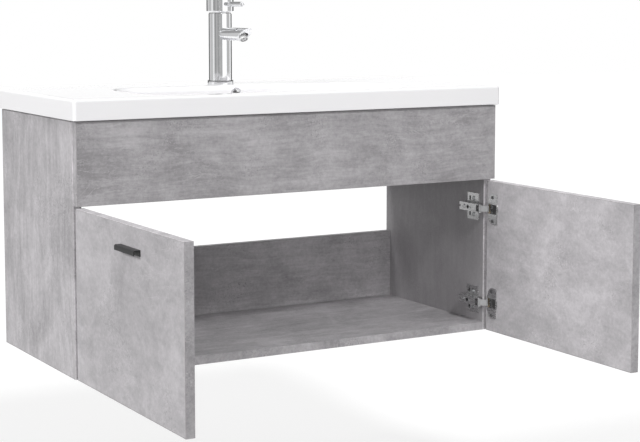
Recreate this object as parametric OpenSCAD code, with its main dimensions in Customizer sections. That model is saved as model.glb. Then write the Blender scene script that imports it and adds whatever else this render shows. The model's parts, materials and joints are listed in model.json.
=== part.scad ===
// Wall-hung vanity unit: a board cabinet with two doors, a basin on top and a mixer tap.
// Frame: +X right, the front faces -Y, the wall is the plane y = 0, +Z up.
// The origin is on the wall, midway between the two wall bolts.

/* [Cabinet] */
// Width over the two side panels
cab_w = 900; // [760:10:1200]
// Depth from the wall to the front of the apron
cab_d = 385; // [360:5:460]
// Height of the side panels
cab_h = 460; // [430:5:600]
// Thickness of the boards
board_t = 16; // [15:0.5:18]
// Height of the fixed apron under the basin
apron_h = 149; // [130:1:170]
// How far the apron and the doors stop short of the cabinet's sides
front_inset = 1; // [0.5:0.5:2]
// Height of the lower back rail above the floor panel
low_rail_h = 144; // [100:1:160]
// Height of the upper back rail
top_rail_h = 84; // [60:1:100]
// Gap between a hanging bracket and the upper back rail below it
top_rail_gap = 9; // [2:1:20]

/* [Doors] */
// Gap between a closed door and the front edges behind it
door_reveal = 2; // [1.5:0.5:2.5]
// Height of a door's lower edge above the underside
door_lift = 2; // [1:0.5:4]
// Gap between a door and the apron above it
apron_gap = 3; // [2:0.5:5]
// Gap between the two closed doors
middle_gap = 4; // [3:0.5:6]

/* [Handles] */
// Length of a handle
handle_l = 80; // [60:1:120]
// How far a handle stands out from the door
handle_out = 12.5; // [11:0.5:16]
// Height of the back plate of a handle
handle_h = 11; // [10:0.5:14]
// Thickness of the metal strip of a handle
handle_t = 1.6; // [1.2:0.1:2]
// Drop of the handle's lip below its bend
lip_h = 6; // [4:0.5:8]
// From the top of a door down to the top of its handle
handle_drop = 35; // [30:1:60]
// From the hinge edge of a door to the middle of its handle
handle_from_edge = 242; // [150:1:260]
// Distance between the two studs of a handle
stud_spacing = 64; // [40:8:80]
// Diameter of a handle stud
stud_d = 5; // [4:0.5:6]
// Length of a handle stud
stud_l = 12; // [8:0.5:13]

/* [Hinges] */
// From a door's upper or lower edge to the middle of a hinge
hinge_end = 57; // [50:1:90]
// From the cabinet's side in to the turning axis of a door
axis_side = 4; // [3.5:0.5:4.5]
// From the apron's front face back to the turning axis of a door
axis_back = 2; // [1.5:0.5:2.5]
// Outer diameter of a hinge cup
cup_d = 35; // [34:0.5:36]
// Depth of a hinge cup
cup_depth = 11.5; // [11:0.25:12.5]
// Wall of a hinge cup
cup_wall = 1; // [0.8:0.1:1.2]
// Board left between the cup and the hinge edge
cup_edge = 3.5; // [3:0.5:5]
// Length of the cup's flange
flange_l = 62; // [58:1:66]
// Width of the ears of the cup's flange
flange_w = 25; // [14:1:26]
// Thickness of the cup's flange
flange_t = 1.2; // [1:0.1:1.6]
// Distance between the two cup screws
cup_screw_spacing = 48; // [45:0.5:50]
// Width of the hinge arm along the door's height
arm_w = 16.5; // [15:0.5:18]
// Sheet thickness of the hinge arm
arm_t = 1.6; // [1.2:0.1:2]
// Length of the hinge arm behind its pin
arm_l = 66; // [60:1:80]
// From the side panel's face to the arm's pin
arm_off = 14; // [13:0.5:15]
// How far the arm's pin reaches in front of the side panel's edge
arm_reach = 5.5; // [5:0.25:6]
// Diameter of the arm's pin
pin_d = 3; // [2.5:0.25:4]
// Length of the link from the arm's pin to its free end
link_l = 17.5; // [17:0.25:18]
// Sheet thickness of the link
link_t = 3; // [2:0.25:3]
// Thickness of the mounting plate's wings
plate_t = 2; // [1.5:0.25:3]
// Height of the mounting plate over its two wings
plate_h = 55; // [50:1:60]
// From the side panel's front edge back to the plate screws
plate_setback = 32; // [28:1:40]
// Distance between the two plate screws
plate_screw_spacing = 32; // [30:1:36]

/* [Wall mounting] */
// From the top of the side panels down to the wall bolts
hang_drop = 35; // [30:1:60]
// From the cabinet's side in to a wall bolt
hang_in = 40; // [36:1:50]
// Radius of the wall bolt slots
hang_slot_r = 4; // [3:0.5:5]
// End-to-end length of the wall bolt slots
hang_slot_l = 16; // [12:1:20]
// Height of a hanging bracket
bracket_h = 44; // [38:1:48]
// Thickness of a hanging bracket
bracket_t = 2.5; // [2:0.25:4]
// Width of the bracket's leg on the wall
bracket_w = 46; // [40:1:54]
// Length of the bracket's leg on the side panel
bracket_l = 50; // [44:1:60]
// From the wall to the bracket's first screw in the side panel
bracket_screw_in = 18; // [16:1:20]
// Distance between a bracket's two screws
bracket_screw_step = 20; // [16:1:22]

/* [Fittings] */
// Diameter of the wooden dowels
dowel_d = 8; // [6:0.5:8]
// Length of the wooden dowels
dowel_l = 30; // [24:1:34]
// Depth of a dowel in a board's face
dowel_in_face = 11; // [9:0.5:12]
// Diameter of a cam housing
cam_d = 15; // [12:0.5:16]
// Depth of a cam housing
cam_depth = 12; // [10:0.5:12.5]
// From a joint to the middle of its cam housing
cam_from_edge = 34; // [30:1:40]
// Diameter of a cam bolt
cam_bolt_d = 6; // [5:0.5:7]
// Depth of a cam bolt in the board it screws into
cam_bolt_in = 10; // [8:0.5:12]
// From a board's edge to the nearest fitting
joint_inset = 40; // [34:1:60]
// From a dowel to the cam bolt beside it
joint_step = 40; // [30:1:60]

/* [Basin] */
// How far the basin stands out past each side of the cabinet
basin_side_over = 5; // [2:1:10]
// How far the basin's front stands out past the apron
basin_over = 7; // [2:1:12]
// Height of the basin's rim
rim_h = 38.5; // [30:0.5:45]
// Height of the ground seat under the rim
seat_h = 1.5; // [1:0.5:5]
// How far the ground seat stays inside the cabinet's faces
seat_in = 3; // [1:0.5:5]
// Thickness of the rim's wall
rim_t = 20; // [16:1:24]
// Thickness of the basin's deck
deck_t = 13; // [10:0.5:16]
// Width of the bowl at the deck
bowl_w = 560; // [420:10:640]
// Width of the rim in front of the bowl
front_rim = 46; // [40:1:60]
// Depth of the ledge behind the bowl
back_ledge = 117; // [105:1:130]
// Depth of the bowl below the deck
bowl_depth = 128; // [110:1:140]
// Height of the bowl's upright upper wall
bowl_upright = 30; // [28:1:40]
// Thickness of the bowl's wall
bowl_t = 12; // [9:0.5:14]
// Radius of the bowl's upright corners
bowl_corner_r = 60; // [40:1:80]
// Radius between the bowl's walls and its floor
bowl_floor_r = 42; // [30:1:50]
// Slope of the bowl's side walls inwards, at each end
bowl_draw = 52; // [30:1:80]
// Slope of the bowl's front and back walls inwards
bowl_draw_y = 26; // [10:1:34]

/* [Overflow and waste] */
// Depth of the overflow's middle below the deck
overflow_drop = 15.5; // [13:0.5:17]
// Outer diameter of the overflow ring
overflow_d = 22; // [20:0.5:24]
// Diameter of the hole in the overflow ring
overflow_bore = 14; // [10:0.5:15]
// Length of the overflow ring's sleeve
overflow_sleeve = 9; // [6:0.5:10]
// Outer diameter of the waste's thread
waste_d = 41.9; // [40:0.1:43]
// Inner diameter of the waste's tube
waste_bore = 36; // [32:0.5:37]
// Diameter of the waste's flange
waste_flange_d = 63; // [60:0.5:66]
// Thickness of the waste's flange
waste_flange_t = 3; // [2:0.25:4]
// Length of the waste below its flange
waste_l = 73; // [60:1:90]
// Diameter of the plug
plug_d = 60; // [54:0.5:62]
// Thickness of the plug
plug_t = 4; // [3:0.25:6]
// How far the plug lifts
plug_lift = 9; // [6:0.5:12]
// Diameter of the plug's stem
stem_d = 8; // [6:0.5:10]

/* [Tap] */
// From the wall to the middle of the tap
tap_back = 48; // [44:0.5:56]
// Diameter of the tap's body
tap_d = 47.5; // [44:0.5:52]
// Height of the tap's body above the deck
tap_h = 143; // [130:1:200]
// Wall of the tap's body
tap_wall = 3.5; // [3:0.25:5]
// Diameter of the ring under the tap
base_ring_d = 53; // [50:0.5:56]
// Thickness of the ring under the tap
base_ring_t = 5; // [1.5:0.25:6]
// Height of the spout's middle above the deck
spout_h = 102; // [90:1:110]
// Diameter of the spout
spout_d = 26; // [22:0.5:28]
// Reach of the spout's upper lip from the tap's middle
spout_reach = 129; // [115:1:150]
// How much shorter the spout is underneath
spout_cut = 40; // [36:1:50]
// Diameter of the aerator
aerator_d = 18; // [16:0.5:21]
// Length of the aerator
aerator_l = 9; // [6:0.5:12]
// Diameter of the lever's head
head_d = 56; // [54:0.5:60]
// Height of the lever's head
head_h = 34; // [30:1:40]
// Wall of the lever's head
head_wall = 2.5; // [2:0.25:3]
// Gap between the tap's body and the lever's head
head_gap = 2; // [1.5:0.25:3]
// Diameter of the lever's rod
rod_d = 10; // [8:0.5:11]
// Height of the rod above the lower edge of the head
rod_up = 17; // [15:0.5:20]
// Reach of the rod from the tap's middle
rod_reach = 102; // [80:1:120]
// Height of the lever's tilting axis below the head's lower edge
tilt_drop = 8; // [7:0.5:10]
// Diameter of the ceramic cartridge
cartridge_d = 35; // [30:0.5:36]
// Height of the ceramic cartridge
cartridge_h = 36; // [30:1:40]
// Diameter of the tap hole in the basin
tap_hole_d = 35; // [33:0.5:36]
// Diameter of the tap's fixing stud
tap_stud_d = 8; // [6:0.5:10]
// Radius of the two threaded water inlets
inlet_r = 5; // [4:0.25:5.5]
// Depth of the two threaded water inlets
inlet_l = 12; // [9:0.5:14]

/* [Hidden] */
$fn = 64;

// Clearances
eps = 0.01;
fit_gap = 0.05;
screw_gap = 0.2;
seat_gap = 0.3;
cut = 1;

// Cross recess of a screw, as shares of its head's diameter and height
recess_l = 0.6;
recess_w = 0.13;
recess_t = 0.6;

// Colours
concrete = [0.66, 0.65, 0.66];
nickel = [0.72, 0.72, 0.72];
steel = [0.6, 0.61, 0.63];
chrome = [0.85, 0.86, 0.88];
black = [0.13, 0.13, 0.14];
white = [0.95, 0.95, 0.96];
beech = [0.78, 0.62, 0.42];
zinc = [0.68, 0.69, 0.7];

// Planes of the cabinet
side_x = cab_w / 2;
inner_x = side_x - board_t;
front_y = -cab_d;
edge_y = front_y + board_t;
top_z = hang_drop;
under_z = top_z - cab_h;
floor_z = under_z + board_t;
apron_z = top_z - apron_h;
low_rail_z = floor_z + low_rail_h;
top_rail_z1 = -bracket_h / 2 - top_rail_gap;
top_rail_z0 = top_rail_z1 - top_rail_h;
rail_y = -board_t;

// Doors: they are drawn open, turned a quarter turn from closed
door_open = 90;
door_z0 = under_z + door_lift;
door_z1 = apron_z - apron_gap;
door_out_y = front_y - door_reveal;
door_in_y = door_out_y + board_t;
door_edge_x = side_x - front_inset;
axis_x = side_x - axis_side;
axis_y = front_y + axis_back;
hinge_zs = [door_z0 + hinge_end, door_z1 - hinge_end];

// Hinges
cup_x = door_edge_x - cup_edge - cup_d / 2;
cup_inner_r = cup_d / 2 - cup_wall;
cup_notch_gap = 1.5;
cup_notch = arm_w / 2 + cup_notch_gap;
cup_flange_over = 1;
pin_x = inner_x - arm_off;
pin_y = edge_y - arm_reach;
link_open_angle = -40.5;
link_side_gap = 0.4;
link_w = arm_w - 2 * arm_t - 2 * link_side_gap;
link_eye_r = 3.2;
link_end_r = 2;
link_shift = -1.2;
link_start = 2;
arm_nose_r = 3.5;
arm_web_x = pin_x - arm_nose_r;
cheek_gap = 1;
arm_cheek_x = inner_x - plate_t - cheek_gap;
arm_rear_y = pin_y + arm_l;
arm_nose_l = 8;
arm_web_y = pin_y + arm_nose_l;
arm_notch = 4;
hump_w = arm_w - 2 * arm_t - 2 * fit_gap;
screw_y = edge_y + plate_setback;
hump_x = arm_web_x + arm_t;
wing_front = 17;
wing_rear = 22;
spare_slot = 13;
slot_w = 5;
slot_l = 10;
plate_screw_d = 4.5;
plate_screw_head_d = 7.5;
plate_screw_head_t = 2;
plate_screw_l = 11;
clamp_back = 51;
adjust_back = 37;
arm_screw_d = 5;
arm_screw_head_d = 8;
arm_screw_head_t = 2;
arm_screw_in = 6;
cup_screw_d = 3.5;
cup_screw_head_d = 6.5;
cup_screw_head_t = 1.5;
cup_screw_l = 10;

// Handles
handle_z1 = door_z1 - handle_drop;
handle_mid_x = door_edge_x - handle_from_edge;
lip_r = 3;

// Board joints
cam_cross_t = 2;
cam_bolt_grip = 3;
cam_bolt_l = cam_from_edge - cam_d / 2 + cam_bolt_grip;
cam_bolt_thread_d = cam_bolt_d - 1;
floor_dowel_ys = [edge_y + joint_inset, rail_y - joint_inset - joint_step];
floor_cam_ys = [edge_y + joint_inset + joint_step, rail_y - joint_inset];
rail_dowel_up = 0.3;
rail_cam_up = 0.7;
apron_cam_drop = 30;
dowel_in_end = dowel_l - dowel_in_face;

// Basin
basin_x = side_x + basin_side_over;
basin_y = front_y - basin_over;
deck_z = top_z + seat_h + rim_h;
rim_z = top_z + seat_h;
bowl_x = bowl_w / 2;
bowl_y0 = basin_y + front_rim;
bowl_y1 = -back_ledge;
bowl_mid_y = (bowl_y0 + bowl_y1) / 2;
bowl_floor_z = deck_z - bowl_depth;
bowl_under_z = bowl_floor_z - bowl_t;
upright_z = deck_z - bowl_upright;
wall_x = bowl_x + bowl_t;
wall_y0 = bowl_y0 - bowl_t;
wall_y1 = bowl_y1 + bowl_t;
corner_x = bowl_x - bowl_corner_r;
tap_land_x = 60;
bowl_end_in = 20;
bowl_end_x = corner_x - bowl_end_in;
tray_share = 0.8;
tray_z = bowl_floor_z + tray_share * bowl_floor_r;
waste_recess_d = waste_flange_d + 2 * cut;
waste_hole_gap = 2;
waste_hole_d = waste_d + 2 * waste_hole_gap;
overflow_z = deck_z - overflow_drop;
overflow_flange_t = 1.5;
overflow_wall = 1.5;
overflow_sleeve_d = overflow_bore + 2 * overflow_wall;

// Waste
waste_top_z = bowl_floor_z;
waste_face_z = waste_top_z - waste_flange_t;
waste_end_z = waste_face_z - waste_l;
waste_seal_t = 8;
waste_seal_in = 1.5;
waste_seal_d = waste_flange_d - 2 * waste_seal_in;
waste_nut_t = 12;
waste_nut_d = 58;
waste_nut_spare = 2;
waste_relief_w = 3;
waste_relief_in = 0.75;
waste_relief_top = bowl_under_z - waste_seal_t - waste_nut_t - waste_nut_spare;
waste_tail_z = waste_relief_top - waste_relief_w;
spider_t = 5;
spider_drop = 24;
spider_wall = 3.5;
spider_hub_d = stem_d + 2 * spider_wall;
spider_rib = 2.4;
plug_edge = 1;
plug_bevel = 1.5;
stem_below = 16;
stem_l = spider_drop + stem_below;

// Tap
tap_y = -tap_back;
tap_r = tap_d / 2;
tap_base_z = deck_z + base_ring_t;
tap_top_z = deck_z + tap_h;
tap_sole_t = 16;
bore_r = tap_r - tap_wall;
head_z0 = tap_top_z + head_gap;
head_z1 = head_z0 + head_h;
head_dome = 4;
tilt_z = head_z0 - tilt_drop;
rod_z = head_z0 + rod_up;
turret_drop = 8;
cartridge_z1 = tilt_z - turret_drop;
cartridge_z0 = cartridge_z1 - cartridge_h;
cartridge_seat_t = 4;
nut_t = 7;
turret_foot = 5;
turret_well = 6;
turret_r = 9;
turret_bore_r = turret_r + fit_gap;
dome_r = 15;
stem_half = 3.2;
slot_half = stem_half + 0.4;
trunnion_r = 2;
trunnion_in = 0.5;
stem_down = 4;
slot_down = 6.5;
dome_gap = 1;
socket_z = tilt_z + dome_r + dome_gap;
socket_grip = 7;
socket_wall = 4;
stem_top_z = socket_z + socket_grip;
cap_t = 4;
head_bevel = 5;
spout_z = deck_z + spout_h;
spout_wall = 2;
spout_in = tap_r - tap_wall + 2.5;
spout_bore_end = 8;
spout_cut_angle = atan2(spout_d, spout_cut);
aerator_back = 30;
aerator_rim = 2;
aerator_rim_t = 1.5;
aerator_hole_d = 1.4;
aerator_hole_step = 3;
stud_back = 10;
stud_y = tap_y + stud_back;
stud_down = 48;
stud_z0 = deck_z - stud_down;
stud_in = 12;
inlet_x = 8.5;
inlet_front = 6;
inlet_y = tap_y - inlet_front;
hose_gap = 2;
gasket_t = 3;
washer_t = 2.5;
washer_d = 46;
tap_nut_t = 8;
tap_nut_d = 15;

// Shared shapes

// A box from its low corner to its high corner
module block(low, high) {
  translate(low) cube(high - low);
}

// A cylinder from a point along X
module rod_x(at, d, l) {
  translate(at) rotate([0, 90, 0]) cylinder(d = d, h = l);
}

// A cylinder from a point along Y
module rod_y(at, d, l) {
  translate(at) rotate([-90, 0, 0]) cylinder(d = d, h = l);
}

// Children and their mirror image across the middle of the cabinet
module both_sides() {
  children();
  mirror([1, 0, 0]) children();
}

// Children drawn on the closed right door, turned open about its hinge axis
module on_open_door() {
  translate([axis_x, axis_y, 0])
    rotate([0, 0, door_open])
      translate([-axis_x, -axis_y, 0]) children();
}

// A slot in the XY plane, cut along X
module slot_2d(l, w) {
  square([l - w, w], center = true);
  for (s = [-1, 1]) translate([s * (l - w) / 2, 0]) circle(d = w);
}

// A cross cut into a screw's head: the head's face is the XY plane, +Z is outwards
module cross_recess(d, t) {
  for (a = [0, 90])
    rotate([0, 0, a])
      block([-d * recess_l / 2, -d * recess_w / 2, -t], [d * recess_l / 2, d * recess_w / 2, eps]);
}

// Places where the boards join, as [x, y, z]

function floor_dowel_points() = [for (y = floor_dowel_ys) [inner_x, y, under_z + board_t / 2]];
function rail_mid_y() = rail_y + board_t / 2;
function low_rail_point(share) = [inner_x, rail_mid_y(), floor_z + low_rail_h * share];
function top_rail_point(share) = [inner_x, rail_mid_y(), top_rail_z0 + top_rail_h * share];
function side_dowel_points() =
  concat(floor_dowel_points(), [low_rail_point(rail_dowel_up), top_rail_point(rail_dowel_up)]);
function floor_cam_points() = [for (y = floor_cam_ys) [inner_x, y, under_z + board_t / 2]];
function rail_cam_points() = [low_rail_point(rail_cam_up), top_rail_point(rail_cam_up)];
function apron_cam_points() =
  [for (z = [apron_z + apron_cam_drop, top_z - apron_cam_drop]) [inner_x + board_t / 2, edge_y, z]];

// Bores for the cams of the right side
module side_joint_bores() {
  for (p = side_dowel_points())
    rod_x([p.x - eps, p.y, p.z], dowel_d + 2 * fit_gap, dowel_in_face + fit_gap + eps);
  for (p = concat(floor_cam_points(), rail_cam_points()))
    rod_x([p.x - eps, p.y, p.z], cam_bolt_thread_d + 2 * fit_gap, cam_bolt_in + fit_gap + eps);
  for (p = apron_cam_points())
    rod_y([p.x, p.y - eps, p.z], cam_bolt_thread_d + 2 * fit_gap, cam_bolt_in + fit_gap + eps);
}

// Bore along X in the end of a board for a dowel
module end_dowel_bore(p) {
  rod_x([p.x - dowel_in_end - fit_gap, p.y, p.z], dowel_d + 2 * fit_gap, dowel_in_end + fit_gap + eps);
}

// Bore along X in the end of a board for a cam bolt
module end_cam_bore(p) {
  rod_x([p.x - cam_from_edge, p.y, p.z], cam_bolt_d + 2 * fit_gap, cam_from_edge + eps);
}

// Side panel, drawn on the right: stands behind the apron and the door
module side_panel() {
  color(concrete) difference() {
    block([inner_x, edge_y, under_z], [side_x, 0, top_z]);
    side_joint_bores();
    for (z = hinge_zs)
      for (s = [-1, 1])
        rod_x([inner_x - eps, screw_y, z + s * plate_screw_spacing / 2],
              plate_screw_d + 2 * fit_gap, plate_screw_l - plate_t + fit_gap + eps);
    for (p = bracket_screw_points())
      rod_x([inner_x - eps, p.y, p.z], plate_screw_d + 2 * fit_gap,
            plate_screw_l - bracket_t + fit_gap + eps);
  }
}

module floor_panel() {
  color(concrete) difference() {
    block([-inner_x, edge_y, under_z], [inner_x, 0, floor_z]);
    both_sides() {
      for (p = floor_dowel_points()) end_dowel_bore(p);
      for (p = floor_cam_points()) {
        end_cam_bore(p);
        translate([p.x - cam_from_edge, p.y, under_z - eps])
          cylinder(d = cam_d + 2 * fit_gap, h = cam_depth + fit_gap + eps);
      }
    }
  }
}

// A back rail from its lower to its upper edge
module back_rail(z0, z1, dowel_at, cam_at) {
  color(concrete) difference() {
    block([-inner_x, rail_y, z0], [inner_x, 0, z1]);
    both_sides() {
      end_dowel_bore(dowel_at);
      end_cam_bore(cam_at);
      rod_y([cam_at.x - cam_from_edge, -cam_depth - fit_gap, cam_at.z],
            cam_d + 2 * fit_gap, cam_depth + fit_gap + eps);
    }
  }
}

module back_rail_lower() {
  back_rail(floor_z, low_rail_z, low_rail_point(rail_dowel_up), low_rail_point(rail_cam_up));
}

module back_rail_upper() {
  back_rail(top_rail_z0, top_rail_z1, top_rail_point(rail_dowel_up), top_rail_point(rail_cam_up));
}

// Apron: covers the front edges of the side panels above the doors
module apron_panel() {
  color(concrete) difference() {
    block([-door_edge_x, front_y, apron_z], [door_edge_x, edge_y, top_z]);
    both_sides()
      for (p = apron_cam_points())
        rod_y([p.x, edge_y - cam_depth - fit_gap, p.z], cam_bolt_d + 2 * fit_gap,
              cam_depth + fit_gap + eps);
  }
}

module dowels() {
  color(beech) both_sides()
    for (p = side_dowel_points())
      rod_x([p.x - dowel_in_end, p.y, p.z], dowel_d, dowel_l);
}

// A cam bolt along X: a thread in the side panel and a headed shank in the board
module cam_bolt(p) {
  rod_x([p.x, p.y, p.z], cam_bolt_thread_d, cam_bolt_in);
  rod_x([p.x - cam_bolt_l, p.y, p.z], cam_bolt_d, cam_bolt_l);
}

// The apron's bolts: pressed into the apron and screwed into the side's front edge
module apron_bolt(p) {
  rod_y([p.x, p.y - cam_depth, p.z], cam_bolt_d, cam_depth);
  rod_y(p, cam_bolt_thread_d, cam_bolt_in);
}

module cam_bolts() {
  color(steel) both_sides() {
    for (p = concat(floor_cam_points(), rail_cam_points())) cam_bolt(p);
    for (p = apron_cam_points()) apron_bolt(p);
  }
}

// A cam housing about Z, open to the bolt on one side, with a cross for the driver
module cam_housing(open_angle) {
  difference() {
    cylinder(d = cam_d, h = cam_depth);
    rotate([0, 0, open_angle])
      rod_x([0, 0, board_t / 2], cam_bolt_d + 2 * screw_gap, cam_d);
    rotate([180, 0, 0]) cross_recess(cam_d, cam_cross_t);
  }
}

module cam_housings() {
  color(zinc) both_sides() {
    for (p = floor_cam_points())
      translate([p.x - cam_from_edge, p.y, under_z]) cam_housing(0);
    for (p = rail_cam_points())
      translate([p.x - cam_from_edge, 0, p.z]) rotate([90, 0, 0]) cam_housing(0);
  }
}

// Hanging brackets: an angle in each upper rear corner

function bracket_screw_points() =
  [for (i = [0, 1]) [inner_x, -bracket_screw_in - i * bracket_screw_step, 0]];

module hanging_bracket() {
  color(steel) difference() {
    union() {
      block([inner_x - bracket_w, -bracket_t, -bracket_h / 2], [inner_x, 0, bracket_h / 2]);
      block([inner_x - bracket_t, -bracket_l, -bracket_h / 2], [inner_x, 0, bracket_h / 2]);
    }
    translate([side_x - hang_in, eps, 0]) rotate([90, 0, 0])
      linear_extrude(bracket_t + 2 * eps) slot_2d(hang_slot_l, 2 * hang_slot_r);
    for (p = bracket_screw_points())
      rod_x([inner_x - bracket_t - eps, p.y, p.z], plate_screw_d + 2 * screw_gap, bracket_t + 2 * eps);
  }
}

// A pan-head screw along X with a cross recess, its head on the -X side of the point
module pan_screw(p, d, l, head_d, head_t) {
  difference() {
    union() {
      rod_x(p, d, l);
      rod_x([p.x - head_t, p.y, p.z], head_d, head_t);
    }
    translate([p.x - head_t, p.y, p.z]) rotate([0, -90, 0]) cross_recess(head_d, head_t * recess_t);
  }
}

module bracket_screws() {
  color(zinc) both_sides()
    for (p = bracket_screw_points())
      pan_screw([p.x - bracket_t, p.y, p.z], plate_screw_d, plate_screw_l,
                plate_screw_head_d, plate_screw_head_t);
}

// Hinges, drawn on the right at the height of their middle

// Mounting plate: two slotted wings and a hump that the arm straddles
module hinge_plate(z) {
  color(nickel) translate([0, 0, z]) difference() {
    union() {
      block([inner_x - plate_t, screw_y - wing_front, -plate_h / 2],
            [inner_x, screw_y + wing_rear, plate_h / 2]);
      block([hump_x, screw_y - wing_front, -hump_w / 2], [inner_x, screw_y + wing_rear, hump_w / 2]);
    }
    for (s = [-1, 1])
      for (y = [screw_y, screw_y + spare_slot])
        translate([inner_x + eps, y, s * plate_screw_spacing / 2]) rotate([0, -90, 0])
          linear_extrude(plate_t + 2 * eps) slot_2d(slot_l, slot_w);
    for (back = [clamp_back, adjust_back])
      rod_x([hump_x - eps, pin_y + back, 0], arm_screw_d + 2 * fit_gap,
            arm_screw_in + screw_gap + eps);
  }
}

module hinge_plates() {
  both_sides() for (z = hinge_zs) hinge_plate(z);
}

module plate_screws() {
  color(zinc) both_sides()
    for (z = hinge_zs)
      for (s = [-1, 1])
        pan_screw([inner_x - plate_t, screw_y, z + s * plate_screw_spacing / 2],
                  plate_screw_d, plate_screw_l, plate_screw_head_d, plate_screw_head_t);
}

// One cheek of the arm: a rounded nose at the pin and a strip back to the rear
module arm_cheek_2d() {
  translate([pin_x, pin_y]) circle(r = arm_nose_r);
  translate([arm_web_x, pin_y]) square([arm_nose_r + arm_t, arm_nose_l + eps]);
  translate([arm_web_x, arm_web_y]) square([arm_cheek_x - arm_web_x, arm_rear_y - arm_web_y]);
}

// Arm: a channel that straddles the plate and carries the pin in its nose
module hinge_arm(z) {
  color(nickel) translate([0, 0, z]) difference() {
    union() {
      for (s = [-1, 1])
        translate([0, 0, s * (arm_w - arm_t) / 2 - arm_t / 2])
          linear_extrude(arm_t) arm_cheek_2d();
      block([arm_web_x, arm_web_y, -arm_w / 2], [arm_web_x + arm_t, arm_rear_y, arm_w / 2]);
    }
    translate([pin_x, pin_y, -arm_w]) cylinder(r = pin_d / 2 + fit_gap / 2, h = 2 * arm_w);
    translate([arm_web_x - eps, pin_y + clamp_back, 0]) rotate([90, 0, 90])
      linear_extrude(arm_t + 2 * eps) slot_2d(slot_l, arm_screw_d + 2 * screw_gap);
    rod_x([arm_web_x - eps, pin_y + adjust_back, 0], arm_screw_d + 2 * screw_gap, arm_t + 2 * eps);
    block([arm_web_x - eps, arm_rear_y - arm_notch, -arm_notch / 2],
          [arm_web_x + arm_t + eps, arm_rear_y + eps, arm_notch / 2]);
  }
}

module hinge_arms() {
  both_sides() for (z = hinge_zs) hinge_arm(z);
}

module arm_clamp_screws() {
  color(nickel) both_sides()
    for (z = hinge_zs)
      pan_screw([arm_web_x, pin_y + clamp_back, z], arm_screw_d, arm_screw_in,
                arm_screw_head_d, arm_screw_head_t);
}

// Grub screws that set the door's overlay, flush in the arm's web
module arm_adjusting_screws() {
  color(steel) both_sides()
    for (z = hinge_zs)
      difference() {
        rod_x([arm_web_x, pin_y + adjust_back, z], arm_screw_d, arm_screw_in + arm_t / 2);
        translate([arm_web_x, pin_y + adjust_back, z]) rotate([0, -90, 0])
          cross_recess(arm_screw_d, arm_t * recess_t);
      }
}

module hinge_pins() {
  color(steel) both_sides()
    for (z = hinge_zs)
      translate([pin_x, pin_y, z - arm_w / 2]) cylinder(d = pin_d, h = arm_w);
}

// Link: turns on the arm's pin, and its free end rides in the cup
module hinge_link(z) {
  color(nickel)
    translate([pin_x, pin_y, z - link_w / 2]) rotate([0, 0, link_open_angle])
      linear_extrude(link_w) difference() {
        union() {
          circle(r = link_eye_r);
          translate([link_start, link_shift - link_t / 2]) square([link_l - link_start, link_t]);
          translate([link_l, link_shift]) circle(r = link_end_r);
        }
        circle(r = pin_d / 2 + fit_gap);
      }
}

// Cup, drawn on the closed right door
module hinge_cup(z) {
  color(nickel) on_open_door() translate([cup_x, door_in_y, z]) difference() {
    union() {
      rod_y([0, -cup_depth, 0], cup_d, cup_depth);
      rod_y([0, 0, 0], cup_d + 2 * cup_flange_over, flange_t);
      block([-flange_w / 2, 0, -(flange_l - flange_w) / 2],
            [flange_w / 2, flange_t, (flange_l - flange_w) / 2]);
      for (s = [-1, 1])
        rod_y([0, 0, s * (flange_l - flange_w) / 2], flange_w, flange_t);
    }
    rod_y([0, -cup_depth + cup_wall, 0], 2 * cup_inner_r, cup_depth + flange_t);
    block([0, -cup_depth / 2, -cup_notch], [cup_d, flange_t + eps, cup_notch]);
    for (s = [-1, 1])
      rod_y([0, -eps, s * cup_screw_spacing / 2], cup_screw_d + 2 * screw_gap, flange_t + 2 * eps);
  }
}

// Screws of one door's cups, drawn on the closed right door
module hinge_cups() {
  for (z = hinge_zs) hinge_cup(z);
}

module cup_screws() {
  color(zinc) on_open_door()
    for (z = hinge_zs)
      for (s = [-1, 1])
        translate([cup_x, door_in_y + flange_t, z + s * cup_screw_spacing / 2])
          difference() {
            union() {
              rod_y([0, -cup_screw_l, 0], cup_screw_d, cup_screw_l);
              rod_y([0, 0, 0], cup_screw_head_d, cup_screw_head_t);
            }
            translate([0, cup_screw_head_t, 0]) rotate([-90, 0, 0])
              cross_recess(cup_screw_head_d, cup_screw_head_t * recess_t);
          }
}

// Doors, drawn closed on the right and turned open

module door() {
  color(concrete) on_open_door() difference() {
    block([middle_gap / 2, door_out_y, door_z0], [door_edge_x, door_in_y, door_z1]);
    for (z = hinge_zs) {
      rod_y([cup_x, door_in_y - cup_depth - fit_gap, z], cup_d + 2 * fit_gap, cup_depth + fit_gap + eps);
      for (s = [-1, 1])
        rod_y([cup_x, door_in_y + flange_t - cup_screw_l - fit_gap, z + s * cup_screw_spacing / 2],
              cup_screw_d + 2 * fit_gap, cup_screw_l + fit_gap);
    }
    for (s = [-1, 1])
      rod_y([handle_mid_x + s * stud_spacing / 2, door_out_y - eps, handle_z1 - handle_h / 2],
            stud_d + 2 * fit_gap, stud_l + fit_gap + eps);
  }
}

// Section of the handle: x is the way out from the door, y is up, 0 at the plate's top
module handle_section() {
  translate([0, -handle_h]) square([handle_t, handle_h - lip_r]);
  difference() {
    union() {
      translate([0, -lip_r]) square([handle_out - lip_r, lip_r]);
      translate([handle_out - lip_r, -lip_r]) intersection() {
        circle(r = lip_r);
        square(lip_r);
      }
      translate([handle_out - handle_t, -lip_r - lip_h]) square([handle_t, lip_h + eps]);
    }
    translate([handle_t, -lip_r - eps]) square([handle_out - handle_t - lip_r, lip_r - handle_t + eps]);
    translate([handle_out - lip_r, -lip_r]) circle(r = lip_r - handle_t);
    translate([handle_t, -lip_r - lip_h]) square([handle_out - 2 * handle_t, lip_h]);
  }
}

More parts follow.
